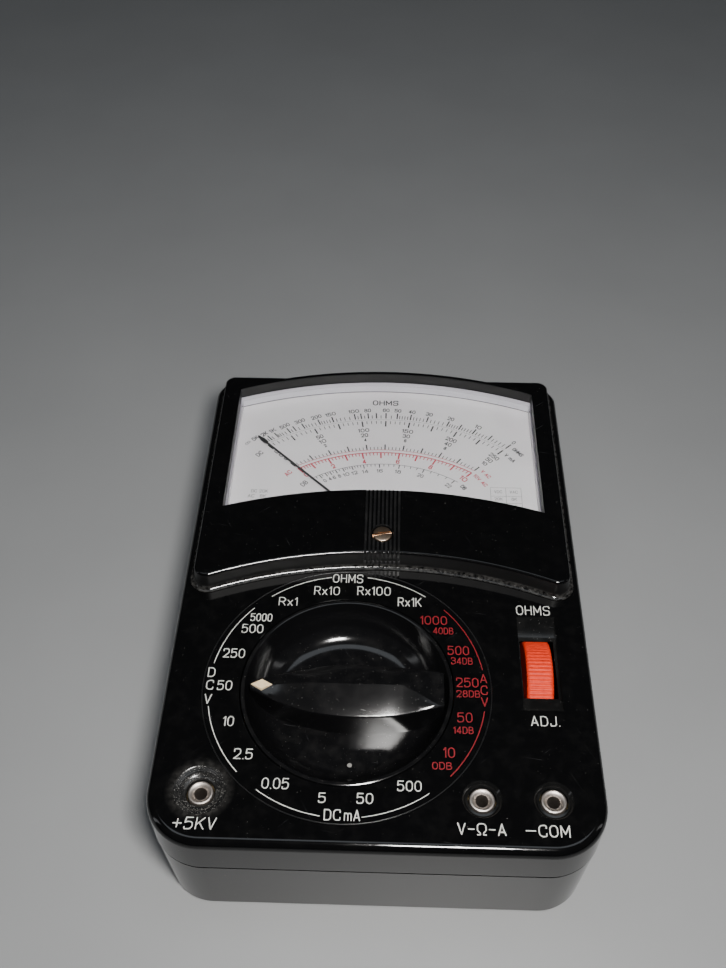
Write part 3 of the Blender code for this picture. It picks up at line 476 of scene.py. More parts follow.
DEEP_BLACK = (0.002, 0.002, 0.0022)
SOCKET_WEAR = (JACKS["5kv"], 5.0, 7.4, 0.11)
FLECK = ((KNOB[0] + 1.0, KNOB[1] - 14.0), 0.3, 0.55, 4.0)
FINISH_OF_SLOT = {
    "case_black": moulded_black("case_plastic", 0.25, 0.055, DEEP_BLACK, worn=[SOCKET_WEAR]),
    "cover_black": moulded_black("cover_plastic", 0.15, 0.06, DEEP_BLACK, dull_walls=0.5,
                                 dusty_foot=PANEL_Z + 0.9),
    "knob_black": moulded_black("knob_plastic", 0.8, 0.11, (0.004, 0.004, 0.0044), 0.01, worn=[FLECK]),
    "window_clear": clear_window("window_acrylic"),
    "scale_card": plain_plastic("scale_white", (0.94, 0.89, 0.91), (0.88, 0.81, 0.84), 0.42, 0.05),
    "pointer_black": plain_plastic("pointer_lacquer", (0.008, 0.008, 0.008), (0.015, 0.015, 0.015), 0.35),
    "inlay_cream": plain_plastic("inlay_cream", (0.95, 0.74, 0.46), (0.84, 0.60, 0.34), 0.45, 1.5),
    "wheel_orange": plain_plastic("wheel_orange", (0.76, 0.04, 0.010), (0.60, 0.026, 0.008), 0.38, 1.2,
                                  specular=0.2),
    "laminate": plain_plastic("paper_laminate", (0.30, 0.15, 0.06), (0.22, 0.10, 0.04), 0.45, 0.4),
    "component_body": plain_plastic("resistor_lacquer", (0.45, 0.30, 0.16), (0.36, 0.22, 0.11), 0.4),
    "black_plastic": plain_plastic("moulded_matte", (0.03, 0.03, 0.03), (0.05, 0.05, 0.05), 0.5),
    "cell_wrap": plain_plastic("cell_sleeve", (0.05, 0.11, 0.30), (0.04, 0.08, 0.22), 0.3, 0.2, 0.4),
    "nickel": satin_metal("jack_nickel", (0.56, 0.51, 0.47), 0.42, (0.36, 0.29, 0.24), 0.5),
    "brass": satin_metal("brass", (0.72, 0.50, 0.22), 0.25),
    "copper_brass": satin_metal("worn_brass", (0.62, 0.47, 0.35), 0.30, (0.30, 0.20, 0.13), 0.8),
    "steel": satin_metal("zinc_steel", (0.55, 0.55, 0.56), 0.30, (0.35, 0.33, 0.3)),
    "soft_iron": satin_metal("ground_iron", (0.30, 0.30, 0.32), 0.42, (0.16, 0.10, 0.07)),
    "magnet_alloy": satin_metal("magnet_alloy", (0.18, 0.18, 0.20), 0.55, (0.1, 0.09, 0.08), metallic=0.7),
    "coil_copper": satin_metal("enamelled_wire", (0.50, 0.17, 0.07), 0.3, (0.3, 0.08, 0.03)),
}
SCUFFED = moulded_black("scuffed_plastic", 3.0, 0.2, (0.012, 0.012, 0.012), 0.06)
RUBBED = moulded_black("rubbed_plastic", 0.9, 0.13, (0.005, 0.005, 0.005), 0.02)
DUSTY = moulded_black("dusty_plastic", 1.2, 0.28, (0.008, 0.008, 0.0085), 0.02)
# Painted shade: a dark metal for the insides of the jack bores, standing in for the shade deep in the holes.
BORE_PAINTED_SHADE = satin_metal("bore_painted_shade", (0.15, 0.13, 0.115), 0.55, (0.07, 0.055, 0.045))
LEGEND_WHITE = plain_plastic("legend_white", (0.66, 0.66, 0.62), (0.50, 0.50, 0.47), 0.5)
LEGEND_RED = plain_plastic("legend_red", (0.27, 0.009, 0.016), (0.20, 0.007, 0.012), 0.45)
INK_BLACK = plain_plastic("ink_black", (0.012, 0.012, 0.014), (0.03, 0.03, 0.032), 0.5)
INK_RED = plain_plastic("ink_red", (0.60, 0.02, 0.05), (0.64, 0.06, 0.09), 0.5)

for entry in frame["record"]["subparts"]:
    mesh = frame["nodes"][entry["node"]].data
    mesh.materials.clear()
    mesh.materials.append(FINISH_OF_SLOT[entry["material_slot"]])


# ---- Case ----
def case_outline(inset):
    half, length = HALF_WIDTH - inset, HALF_LENGTH - inset
    low, high = LOW_CORNER - inset, HIGH_CORNER - inset
    return (
        arc((-half + low, -length + low), low, 180, 270, 24)
        + arc((half - low, -length + low), low, 270, 360, 24)
        + arc((half - high, length - high), high, 0, 90, 16)
        + arc((-half + high, length - high), high, 90, 180, 16)
    )


def quarter(steps):
    """Angles over a quarter turn, for rounded edges."""
    return [math.radians(90 * i / steps) for i in range(steps + 1)]


def rounding(radius, steps):
    """(inset, drop) pairs round an edge, from the wall over to the top."""
    return [(radius * (1 - math.cos(a)), radius * (1 - math.sin(a))) for a in quarter(steps)]


def jack_recess(name):
    """The dish that a jack sits in; the high-voltage one is wider and moulded in steps."""
    rim = JACK_RIM[name]
    if name == "5kv":
        steps = [(6.2, 1), (5.35, 0.02), (5.2, -0.12), (4.95, -0.2), (4.88, -0.3), (4.6, -0.38),
                 (4.53, -0.48), (4.25, -0.56), (4.15, -0.72), (3.85, -0.9), (3.78, -1.05), (3.5, -1.2)]
        foot = [(3.3, rim + 0.15), (3.1, rim + 0.1)]
    else:
        steps = [(4.9, 1), (4.0, 0.02), (3.9, -0.08), (3.4, -0.6), (3.3, -0.75)]
        foot = []
    dish = [(0, PANEL_Z + 1)] + [(radius, PANEL_Z + rise) for radius, rise in steps] + foot
    bore = JACK_RADIUS + 0.25
    return turned(dish + [(bore, rim - 0.3), (bore, CEILING_Z - 1), (0, CEILING_Z - 1)], 64)


def make_front_case():
    shelf = PARTING_Z + 1.8
    inside = [(case_outline(WALL), CEILING_Z), (case_outline(WALL), shelf),
              (case_outline(REBATE), shelf), (case_outline(REBATE), PARTING_Z)]
    soft = [(case_outline(0.1), PARTING_Z), (case_outline(0), PARTING_Z + 0.1)]
    outside = [(case_outline(inset), PANEL_Z - drop) for inset, drop in rounding(PANEL_EDGE, 10)]
    body = piece("case_front", loft(inside + soft + outside), "case", "case_black", ["front_case"])
    root = CEILING_Z + 0.5
    posts = [moved(rod(3.2, 12.3, root, 24), x, y) for x, y in CASE_SCREWS]
    posts += [moved(rod(2.6, 14.9, root, 24), x, y) for x, y in BOARD_POSTS]
    carve(body, merged(posts), "UNION")
    holes = [moved(rod(1.7, 10, 24, 16), x, y) for x, y in CASE_SCREWS]
    holes += [moved(rod(1.3, 10, 24, 16), x, y) for x, y in BOARD_POSTS]
    holes += [moved(rod(1.5, CEILING_Z - 1, PANEL_Z + 1, 16), x, y) for x, y in COVER_SCREWS]
    carve(body, merged(holes))
    carve(body, knob_opening())
    carve(body, movement_opening())
    make_wheel_slot(body)
    for name, place in JACKS.items():
        carve(body, moved(jack_recess(name), *place), finish=SCUFFED if name == "5kv" else RUBBED)


def knob_opening():
    hole, above, below = KNOB_RADIUS + 0.18, PANEL_Z + 2, 25
    rim = [(0, above), (hole + 0.2, above), (hole + 0.13, PANEL_Z + 0.01), (hole + 0.04, PANEL_Z - 0.06),
           (hole, PANEL_Z - 0.2), (hole, below), (0, below)]
    return moved(turned(rim, 144), *KNOB)


def movement_opening():
    """The opening under the meter cover, narrow round the pivot and wide under the scale."""
    side, step, low, shoulder = 39.9, 15.5, 4.5, 15.0
    back = arc((0, ARCH_CENTRE_Y), ARCH_RADIUS + 0.6, 90 - 21.3, 90 + 21.3, 32)
    outline = [(-step, low), (step, low), (step, shoulder), (side, shoulder)]
    outline += back + [(-side, shoulder), (-step, shoulder)]
    return prism(outline, CEILING_Z - 1, PANEL_Z + 1)


def make_wheel_slot(body):
    """The thumb's hollow beside the wheel, and the slot that the wheel stands in."""
    above, ledge = PANEL_Z + 1, PANEL_Z - 1.5
    far, near = -35.1, -11.1
    ramp = [(far, above), (far, PANEL_Z), (-32.0, ledge), (-15.5, ledge), (near, PANEL_Z), (near, above)]
    carve(body, along_x(loft([(ramp, 30.65), (ramp, 39.1)])), finish=RUBBED)
    slot = [(-31.3, 33), (-31.3, 29.3), (-33.0, 28.0), (-33.0, 25), (-14.5, 25), (-14.5, 28.0),
            (-16.7, 29.3), (-16.7, 33)]
    carve(body, along_x(loft([(slot, 31.1), (slot, 38.5)])), finish=RUBBED)


def make_rear_case():
    base, high, shelf = 1.7, PARTING_Z - 0.5, PARTING_Z + 1.3
    bottom = [(case_outline(base - 0.55 * math.sin(a)), 0.6 * (1 - math.cos(a))) for a in quarter(5)]
    walls = [(0.12, high - 0.1), (0.22, high), (REBATE + 0.3, high), (REBATE + 0.3, shelf),
             (WALL + 0.3, shelf), (3.2, FLOOR)]
    body = piece("case_back", loft(bottom + [(case_outline(inset), z) for inset, z in walls]), "case",
                 "case_black", ["rear_case"])
    carve(body, merged([moved(rod(3.7, FLOOR - 0.5, 12.0, 32), x, y) for x, y in CASE_SCREWS]), "UNION")
    well = [(0, -1), (3.35, -1), (3.25, -0.02), (3.1, 0.15), (3.1, 3.0), (1.7, 3.0), (1.7, 13), (0, 13)]
    carve(body, merged([moved(turned(well, 40), x, y) for x, y in CASE_SCREWS]))


# ---- Meter cover ----
def cover_outline(grow, back):
    half, lip, corner, rear = COVER_HALF + grow, LIP_RADIUS - grow, LIP_CORNER + grow, BACK_CORNER + grow
    corner_x = half - corner
    corner_y = LIP_CENTRE_Y + math.sqrt((lip + corner) ** 2 - corner_x ** 2)
    touch = math.degrees(math.atan2(corner_y - LIP_CENTRE_Y, corner_x))
    return (
        arc((0, LIP_CENTRE_Y), lip, 180 - touch, touch, 72)[1:-1]
        + arc((corner_x, corner_y), corner, touch - 180, 0, 16)
        + arc((half - rear, back - rear), rear, 0, 90, 12)
        + arc((-half + rear, back - rear), rear, 90, 180, 12)
        + arc((-corner_x, corner_y), corner, 180, 360 - touch, 16)
    )


def window_outline(grow):
    half = WINDOW_HALF + grow
    low_radius, high_radius = WINDOW_LOW_RADIUS - grow, ARCH_RADIUS + grow
    low = math.degrees(math.asin(half / low_radius))
    high = math.degrees(math.asin(half / high_radius))
    return (arc((0, WINDOW_LOW_CENTRE_Y), low_radius, 90 + low, 90 - low, 64)
            + arc((0, ARCH_CENTRE_Y), high_radius, 90 - high, 90 + high, 64))


def cover_hollow():
    narrow, wide, step = 20.0, WINDOW_HALF + 0.7, 14.8
    low = [p for p in arc((0, LIP_CENTRE_Y), LIP_RADIUS + 2.4, 107, 73, 40) if abs(p[0]) < narrow]
    back = [p for p in arc((0, ARCH_CENTRE_Y), ARCH_RADIUS + 0.6, 68, 112, 48) if abs(p[0]) < wide]
    outline = [(-narrow, low[0][1])] + low + [(narrow, low[-1][1]), (narrow, step), (wide, step)]
    outline += [(wide, back[0][1])] + back + [(-wide, back[-1][1]), (-wide, step), (-narrow, step)]
    return prism(outline, PANEL_Z - 1, COVER_CEILING_Z)


def cover_brow():
    """The arched rib over the window, which stands behind the flat top."""
    rim, edge = ARCH_RADIUS + ARCH_RIM, 0.4
    spread = math.degrees(math.asin(30 / rim))

    def outline(shrink):
        return (arc((0, ARCH_CENTRE_Y), rim - shrink, 90 - spread, 90 + spread, 48)
                + arc((0, ARCH_CENTRE_Y), ARCH_RADIUS - 3, 90 + spread, 90 - spread, 48))

    top = COVER_Z - 0.02
    over = [(outline(inset), top - drop) for inset, drop in rounding(edge, 5)]
    return loft([(outline(0), PANEL_Z + SEAM + 0.2), (outline(0), top - edge)] + over)


def cover_grooves():
    """Grooves that run from the window over the lip and down its front."""
    depth, half = 0.32, 0.26
    cuts = []
    for i in range(GROOVES):
        x = (i - (GROOVES - 1) / 2) * GROOVE_PITCH
        lip_y = LIP_CENTRE_Y + math.sqrt(LIP_RADIUS ** 2 - x ** 2)
        far = WINDOW_LOW_CENTRE_Y + math.sqrt(WINDOW_LOW_RADIUS ** 2 - x ** 2)
        side = [(lip_y - 3, PANEL_Z), (lip_y - 0.75, PANEL_Z + 0.6), (lip_y - 0.05 + depth, PANEL_Z + 1.6),
                (lip_y + depth, COVER_Z - 1.0), (lip_y + 0.75, COVER_Z - depth), (far + 1, COVER_Z - depth),
                (far + 1, COVER_Z + 1), (lip_y - 3, COVER_Z + 1)]
        cuts.append(along_x(loft([(side, x - half), (side, x + half)])))
    return merged(cuts)


def make_cover():
    base = PANEL_Z + SEAM
    rise = COVER_Z - base
    flare = 0.25
    curve = COVER_FOOT - flare

    def section(grow, z):
        lean = (z - base) / rise * (BACK_HIGH_Y - BACK_LOW_Y)
        return cover_outline(grow, BACK_LOW_Y + lean + min(grow, flare) - flare), z

    foot = [section(COVER_FOOT - curve * math.sin(a), base + 0.15 + curve * (1 - math.cos(a)))
            for a in quarter(8)]
    shoulder = [section(0.05 - inset, COVER_Z - drop) for inset, drop in rounding(0.75, 8)]
    sections = [section(COVER_FOOT - 0.06, base), section(COVER_FOOT, base + 0.05)] + foot + shoulder
    body = piece("cover", loft(sections), "case", "cover_black", ["meter_cover"])
    carve(body, cover_brow(), "UNION")
    carve(body, cover_hollow())
    opening = [(0, PANEL_Z), (0, COVER_Z - 0.22), (0.07, COVER_Z - 0.07), (0.22, COVER_Z), (1.2, COVER_Z + 1)]
    carve(body, loft([(window_outline(grow), z) for grow, z in opening]))
    carve(body, cover_grooves(), finish=DUSTY)
    bore = [(0, 37), (3.3, 37), (2.78, COVER_Z + 0.01), (2.65, COVER_Z - 0.06), (2.6, COVER_Z - 0.2),
            (2.6, 34.6), (1.7, 34.6), (1.7, 32), (0, 32)]
    carve(body, moved(turned(bore, 48), *ZERO_SCREW))
    carve(body, merged([moved(rod(1.5, 30, 34, 16), x, y) for x, y in COVER_SCREWS]))


def make_window():
    """The clear window: a flat top that turns down into a thin skirt, except along its front."""
    high, low = COVER_CEILING_Z - SEAM, PANEL_Z - 1.2
    inner_high = high - 1.0
    outer = [(window_outline(0.3), low)]
    outer += [(window_outline(0.3 - inset), high - drop) for inset, drop in rounding(0.9, 6)]
    inner = [(window_outline(-0.2), low - 1)]
    inner += [(window_outline(-0.2 - inset), inner_high - drop) for inset, drop in rounding(0.5, 4)]
    pane = piece("window", loft(outer), "case", "window_clear", ["meter_window"])
    opened = []
    for outline, z in inner:
        half = len(outline) // 2
        opened.append(([(x, y - 8) for x, y in outline[:half]] + outline[half:], z))
    carve(pane, loft(opened))


# ---- Printing: a single-stroke alphabet on a grid 4 wide and 6 high ----
# A stroke is a list of corners (x, y, radius), and None at its end closes it.
R2 = 1.95
STROKES = {
    "0": [[(0, 0, R2), (4, 0, R2), (4, 6, R2), (0, 6, R2), None]],
    "1": [[(0.7, 4.7), (2, 6), (2, 0)]],
    "2": [[(0, 4.4), (0, 6, R2), (4, 6, R2), (4, 3.3, 1.2), (0, 0), (4, 0)]],
    "3": [[(0, 4.8), (0, 6, 1.4), (3.9, 6, 1.4), (3.9, 3.2, 1.3), (1.4, 3.2)],
          [(1.4, 3.2), (4, 3.2, 1.5), (4, 0, 1.6), (0, 0, 1.6), (0, 1.3)]],
    "4": [[(2.9, 0), (2.9, 6), (0, 1.5), (4, 1.5)]],
    "5": [[(3.8, 6), (0.3, 6), (0.1, 3.3)],
          [(0.1, 3.3), (1.0, 3.8, 0.6), (4, 3.8, 1.7), (4, 0, 1.8), (0, 0, 1.8), (0, 1.1)]],
    "6": [[(3.9, 4.9), (3.9, 6, 1.5), (0, 6, R2), (0, 0, R2), (4, 0, R2), (4, 3.6, 1.7), (0, 3.6, 1.7),
           (0, 2.2)]],
    "8": [[(0.3, 6, 1.5), (3.7, 6, 1.5), (3.7, 3.25, 1.3), (0.3, 3.25, 1.3), None],
          [(0, 3.25, 1.5), (4, 3.25, 1.5), (4, 0, 1.6), (0, 0, 1.6), None]],
    "A": [[(0, 0), (2, 6), (4, 0)], [(0.6, 1.7), (3.4, 1.7)]],
    "B": [[(0, 3.2), (0, 0), (4, 0, 1.5), (4, 3.2, 1.5), (0, 3.2), (0, 6), (3.6, 6, 1.3), (3.6, 3.2, 1.3),
           (1, 3.2)]],
    "C": [[(4, 4.5), (4, 6, R2), (0, 6, R2), (0, 0, R2), (4, 0, R2), (4, 1.5)]],
    "D": [[(0, 0), (0, 6), (4, 6, 2.2), (4, 0, 2.2), (0, 0)]],
    "H": [[(0, 0), (0, 6)], [(4, 0), (4, 6)], [(0, 3.1), (4, 3.1)]],
    "J": [[(3.4, 6), (3.4, 0, 1.7), (0, 0, 1.7), (0, 1.4)]],
    "K": [[(0, 0), (0, 6)], [(4, 6), (0, 2.2)], [(1.4, 3.6), (4, 0)]],
    "M": [[(0, 0), (0, 6), (2.3, 1.6), (4.6, 6), (4.6, 0)]],
    "O": [[(0, 0, R2), (4.1, 0, R2), (4.1, 6, R2), (0, 6, R2), None]],
    "R": [[(0, 0), (0, 6), (4, 6, 1.6), (4, 2.8, 1.6), (0, 2.8)], [(2.2, 2.8), (4, 0)]],
    "S": [[(4, 4.7), (4, 6, 1.6), (0, 6, 1.6), (0, 3.1, 1.3), (4, 3.1, 1.3), (4, 0, 1.6), (0, 0, 1.6),
           (0, 1.3)]],
    "V": [[(0, 6), (2, 0), (4, 6)]],
    "m": [[(0, 0), (0, 4.1)], [(0, 2.4), (0, 4.1, 1.1), (2.4, 4.1, 1.1), (2.4, 0)],
          [(2.4, 2.4), (2.4, 4.1, 1.1), (4.8, 4.1, 1.1), (4.8, 0)]],
    "x": [[(0, 0), (3, 4)], [(0, 4), (3, 0)]],
    ".": [[(0, 0), (0.02, 0)]],
    "-": [[(0, 2.9), (3, 2.9)]],
    "_": [[(0, 2.9), (5, 2.9)]],  # a long dash
    "+": [[(0, 2.9), (4.2, 2.9)], [(2.1, 0.8), (2.1, 5.0)]],
    "%": [[(0, 0), (1.5, 0), (1.5, 0.9), (0, 2.4, 0.9), (0, 6, 2.3), (4.8, 6, 2.3), (4.8, 2.4, 0.9),
           (3.3, 0.9), (3.3, 0), (4.8, 0)]],  # capital omega
    "&": [[(0, 1.4, 1.3), (2.6, 1.4, 1.3), (2.6, 4.2, 1.3), (0, 4.2, 1.3), None],
          [(2.6, 1.4, 1.3), (5.2, 1.4, 1.3), (5.2, 4.2, 1.3), (2.6, 4.2, 1.3), None]],  # infinity
    " ": [],
}
GLYPH_GAP = 1.9
BLANK_WIDTH = 2.0
TINY = 1e-6
SHARP_TURN = math.radians(50)
# Strokes that cross lie at different heights, so that no two faces share a plane.
LAYERS = 12
LAYER_STEP = 0.0015
layer_heights = itertools.cycle([LAYER_STEP * (i % LAYERS) for i in range(1, LAYERS + 1)])


def stroke_points(path):
    """A path with rounded corners as points, and whether it closes."""
    if path[-1] is None:
        return rounded(path[:-1]), True
    return [path[0][:2], *rounded(path)[1:-1], path[-1][:2]], False


def glyph_span(letter):
    """Where a letter starts and how wide it is."""
    xs = [corner[0] for path in STROKES[letter] for corner in path if corner]
    return (min(xs), max(xs) - min(xs)) if xs else (0, BLANK_WIDTH)


def split_runs(path):
    """A line as runs that end where it turns sharply."""
    runs = [[path[0]]]
    for before, here, after in zip(path, path[1:], path[2:]):
        runs[-1].append(here)
        into, out = here - before, after - here
        if into.length > TINY and out.length > TINY and into.angle(out) > SHARP_TURN:
            runs.append([here])
    runs[-1].append(path[-1])
    return runs


def add_run(bm, run, half, z, whole):
    """A strip along one run. A whole run meets itself, and any other has round ends."""
    run = [p for i, p in enumerate(run) if i == 0 or (p - run[i - 1]).length > TINY]
    if whole:
        run.pop()
    before = [run[-2] if whole else None] + run[:-1]
    after = run[1:] + [run[1] if whole else None]
    left, right = [], []
    for last, here, following in zip(before, run, after):
        ways = [(b - a).normalized() for a, b in ((last, here), (here, following)) if a and b]
        way = (ways[0] + ways[-1]).normalized()
        side = Vector((-way.y, way.x)) * half / max(0.3, way.dot(ways[-1]))
        left.append(bm.verts.new((*(here + side), z)))
        right.append(bm.verts.new((*(here - side), z)))
    for i in range(len(run) - 1):
        bm.faces.new((right[i], right[i + 1], left[i + 1], left[i]))
    if whole:
        return
    for end, inward, first, second in ((run[0], run[1], right[0], left[0]),
                                       (run[-1], run[-2], left[-1], right[-1])):
        back = end - inward
        start = math.degrees(math.atan2(back.y, back.x)) + 90
        cap = [bm.verts.new((*point, z)) for point in arc(end, half, start, start - 180, 6)[1:-1]]
        bm.faces.new([first, *cap, second])


def add_ribbon(bm, points, width, z, closed=False):
    """A flat line of even width through points, each run of it in a layer of its own."""
    path = [Vector(p) for p in points]
    if closed:
        path += path[:2]
    runs = split_runs(path)
    for run in runs:
        add_run(bm, run, width / 2, z + next(layer_heights), closed and len(runs) == 1)


def write(bm, text, x, y, height, z, stroke, width=None, turn=0.0, slant=0.0):
    """Writes text centred on (x, y), cap height and stroke in millimetres; turn is in degrees."""
    pen = 0.0
    placed = []
    for letter in text:
        start, wide = glyph_span(letter)
        placed.append((letter, pen - start))
        pen += wide + (GLYPH_GAP if letter != "." else GLYPH_GAP * 0.9)
    total = pen - GLYPH_GAP
    grid = (height - stroke) / 6
    across = grid if width is None else (width - stroke) / total
    spin = Matrix.Rotation(math.radians(turn), 2)
    for letter, offset in placed:
        for path in STROKES[letter]:
            points, closed = stroke_points(path)
            line = []
            for px, py in points:
                up = (py - 3) * grid
                local = spin @ Vector(((px + offset - total / 2) * across + slant * up, up))
                line.append((x + local.x, y + local.y))
            add_ribbon(bm, line, stroke, z, closed)


def print_piece(name, bm, finish):
    """Ink on a surface: it is one-sided and lies flat, so its faces are turned up, not recalculated."""
    for face in bm.faces:
        face.normal_update()
        if face.normal.z < 0:
            face.normal_flip()
    bmesh.ops.scale(bm, vec=(MM, MM, MM), verts=bm.verts)
    mesh = bpy.data.meshes.new(name)
    bm.to_mesh(mesh)
    bm.free()
    mesh.materials.append(finish)
    made = bpy.data.objects.new(name, mesh)
    bpy.context.scene.collection.objects.link(made)
    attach(made, "case")


DIAL_WHITE = (
    # text, centre from the knob's axis, width and height
    ("Rx10", -5.6, 25.4, 5.9, 2.45), ("Rx1", -14.3, 22.1, 4.3, 2.4), ("5000", -20.0, 17.5, 4.9, 2.15),
    ("500", -21.7, 14.4, 4.8, 2.4), ("250", -25.1, 7.8, 4.8, 2.4), ("50", -26.2, -0.4, 3.2, 2.4),
    ("10", -24.4, -9.0, 2.3, 2.4), ("2.5", -20.5, -16.4, 3.9, 2.4), ("0.05", -13.4, -22.7, 5.5, 2.4),
    ("5", -3.9, -25.5, 1.5, 2.2), ("50", 4.6, -25.4, 3.3, 2.3), ("500", 13.4, -22.5, 4.9, 2.3),
    ("Rx100", 5.2, 25.6, 7.7, 2.5), ("Rx1K", 13.4, 22.7, 5.4, 2.5), ("OHMS", -0.9, 29.0, 7.0, 2.5),
    ("DC", -1.7, -29.0, 3.3, 2.35), ("mA", 2.2, -29.0, 3.2, 2.35),
    ("D", -29.4, 2.8, 1.6, 2.4), ("C", -29.4, -0.35, 1.6, 2.4), ("V", -29.4, -3.8, 1.6, 2.4),
)
DIAL_RED = (
    ("1000", 18.8, 17.8, 6.0, 2.35), ("40DB", 20.9, 15.0, 4.5, 1.8), ("500", 24.1, 9.9, 4.7, 2.35),
    ("34DB", 24.8, 7.2, 4.7, 1.75), ("250", 25.8, 1.8, 4.8, 2.35), ("28DB", 25.9, -1.0, 5.0, 1.7),
    ("50", 25.0, -6.7, 3.2, 2.35), ("14DB", 24.6, -9.7, 4.2, 1.65), ("10", 21.5, -14.9, 2.4, 2.35),
    ("0DB", 20.0, -17.9, 4.0, 1.65), ("A", 29.3, 2.9, 1.5, 2.3), ("C", 29.3, 0.0, 1.5, 2.3),
    ("V", 29.3, -2.9, 1.5, 2.3),
)
BOLD, FINE = 0.235, 0.195  # stroke widths on the panel


def make_panel_print():
    z = PANEL_Z + 0.02
    white, red = bmesh.new(), bmesh.new()
    for target, labels in ((white, DIAL_WHITE), (red, DIAL_RED)):
        for text, x, y, wide, cap in labels:
            write(target, text, KNOB[0] + x, KNOB[1] + y, cap, z, BOLD if cap > 2 else FINE, wide)
    for target, spans in ((white, ((170, 137.5), (127.7, 99.2), (82.8, 55))),
                          (red, ((44.3, 9.9), (-10.2, -42.8))),
                          (white, ((-54.2, -81.9), (-98.2, -125.4), (-136.5, -169)))):
        for start, end in spans:
            add_ribbon(target, arc(KNOB, DIAL_ARC_RADIUS, start, end, 24), 0.2, z)
    wheel_x, low_line = WHEEL[0] - 0.3, -61.6
    write(white, "OHMS", wheel_x, -9.35, 2.6, z, BOLD, 7.6)
    write(white, "ADJ.", wheel_x + 0.4, -37.6, 2.4, z, BOLD, 6.0)
    write(white, "+5KV", JACKS["5kv"][0] - 0.1, low_line - 0.4, 2.55, z, BOLD, 8.5, slant=0.07)
    write(white, "V-%-A", JACKS["volt_ohm"][0] - 0.4, low_line, 2.5, z, 0.25, 9.5)
    write(white, "_COM", JACKS["common"][0] - 1.8, low_line, 2.5, z, 0.25, 8.6)
    print_piece("panel_print_white", white, LEGEND_WHITE)
    print_piece("panel_print_red", red, LEGEND_RED)


# ---- Scale ----
class ScaleArc:
    """An arc with its own centre; angles are taken at the pointer's pivot, from +Y to the right."""

    def __init__(self, centre_y, radius):
        self.centre_y = centre_y
        self.radius = radius

    def reach(self, angle):
        drop = PIVOT[1] - self.centre_y
        c = math.cos(math.radians(angle))
        return -drop * c + math.sqrt((drop * c) ** 2 + self.radius ** 2 - drop ** 2)

    def point(self, angle, offset=0.0):
        distance = self.reach(angle) + offset
        a = math.radians(angle)
        return PIVOT[0] + distance * math.sin(a), PIVOT[1] + distance * math.cos(a)


UPPER_ARC = ScaleArc(0.5, 52.8)
MIDDLE_ARC = ScaleArc(-0.4, 42.0)
LOWER_ARC = ScaleArc(3.7, 33.2)
INK_Z = SCALE_Z + 0.015
MIDDLE_OHMS = 60
AC_MARKS = (-45.4, -38.7, -29.8, -20.8, -11.8, -1.9, 8.0, 17.5, 27.3, 37.2, 46.3)


def swing(share):
    return SCALE_START + SCALE_SWEEP * share


def ohms_angle(ohms):
    return swing(MIDDLE_OHMS / (MIDDLE_OHMS + ohms))


def decibel_angle(value):
    """Zero decibels is 0.775 V on the ten-volt AC scale."""
    volts = 0.775 * 10 ** (value / 20)
    low = min(int(volts), 9)
    return AC_MARKS[low] + (AC_MARKS[low + 1] - AC_MARKS[low]) * (volts - low)


def tick(bm, curve, angle, start, end, width):
    a, b = Vector(curve.point(angle, start)), Vector(curve.point(angle, end))
    side = (b - a).normalized()
    side = Vector((-side.y, side.x)) * (width / 2)
    corners = [a + side, b + side, b - side, a - side]
    bm.faces.new([bm.verts.new((*corner, INK_Z)) for corner in corners])


def scale_text(bm, curve, text, angle, offset, height, stroke=0.23):
    x, y = curve.point(angle, offset)
    wide = height * 0.76 * len(text)
    write(bm, text, x, y, height, INK_Z, stroke, max(wide - 0.2, 0.5), turn=-angle)


def print_ohms(black):
    crowded = {5000: ("5K", -46.6), 2000: ("2K", -43.2), 1000: ("1K", -40.2)}
    for ohms in (5000, 2000, 1000, 500, 300, 200, 150, 100, 80, 60, 50, 40, 30, 20, 10, 0):
        text, angle = crowded.get(ohms, (str(ohms), ohms_angle(ohms)))
        scale_text(black, UPPER_ARC, text, angle, 3.65, 1.35)
    x, y = UPPER_ARC.point(-49.6, 3.4)
    write(black, "&", x, y, 1.5, INK_Z, 0.14, 1.6, turn=49.6)
    minors = [*range(20), *range(20, 50, 2), *range(50, 100, 5), *range(100, 200, 10), *range(200, 300, 20),
              *range(300, 500, 50), 600, 700, 800, 900, 1500, 3000]
    for ohms in minors:
        tick(black, UPPER_ARC, ohms_angle(ohms), 0.45, 1.7, 0.21)
    majors = [*range(0, 20, 5), *range(20, 100, 10), 100, 150, *range(200, 600, 100), 1000, 2000, 5000]
    for ohms in majors:
        tick(black, UPPER_ARC, ohms_angle(ohms), 0.45, 2.6, 0.36)
    tick(black, UPPER_ARC, swing(0), 0.45, 2.6, 0.36)


def print_direct_current(black):
    for i in range(51):
        long = i % 5 == 0
        tick(black, UPPER_ARC, swing(i / 50), -0.5, -2.6 if long else -1.6, 0.4 if long else 0.2)
        tick(black, MIDDLE_ARC, swing(i / 50), 0.55, 2.4 if long else 1.5, 0.36 if long else 0.2)
    for i in range(6):
        for full_scale, offset, height in ((250, -3.9, 1.4), (50, -5.75, 1.4), (10, -7.5, 1.15)):
            scale_text(black, UPPER_ARC, str(full_scale * i // 5), swing(i / 5), offset, height)


def print_alternating_current(red):
    for number, angle in enumerate(AC_MARKS):
        tick(red, MIDDLE_ARC, angle, -0.7, -2.6, 0.42)
        if number % 2 == 0:
            scale_text(red, MIDDLE_ARC, str(number), angle, -3.6, 1.55, 0.28)
    for first, second in zip(AC_MARKS, AC_MARKS[1:]):
        for i in range(1, 5):
            tick(red, MIDDLE_ARC, first + (second - first) * i / 5, -0.7, -1.6, 0.24)


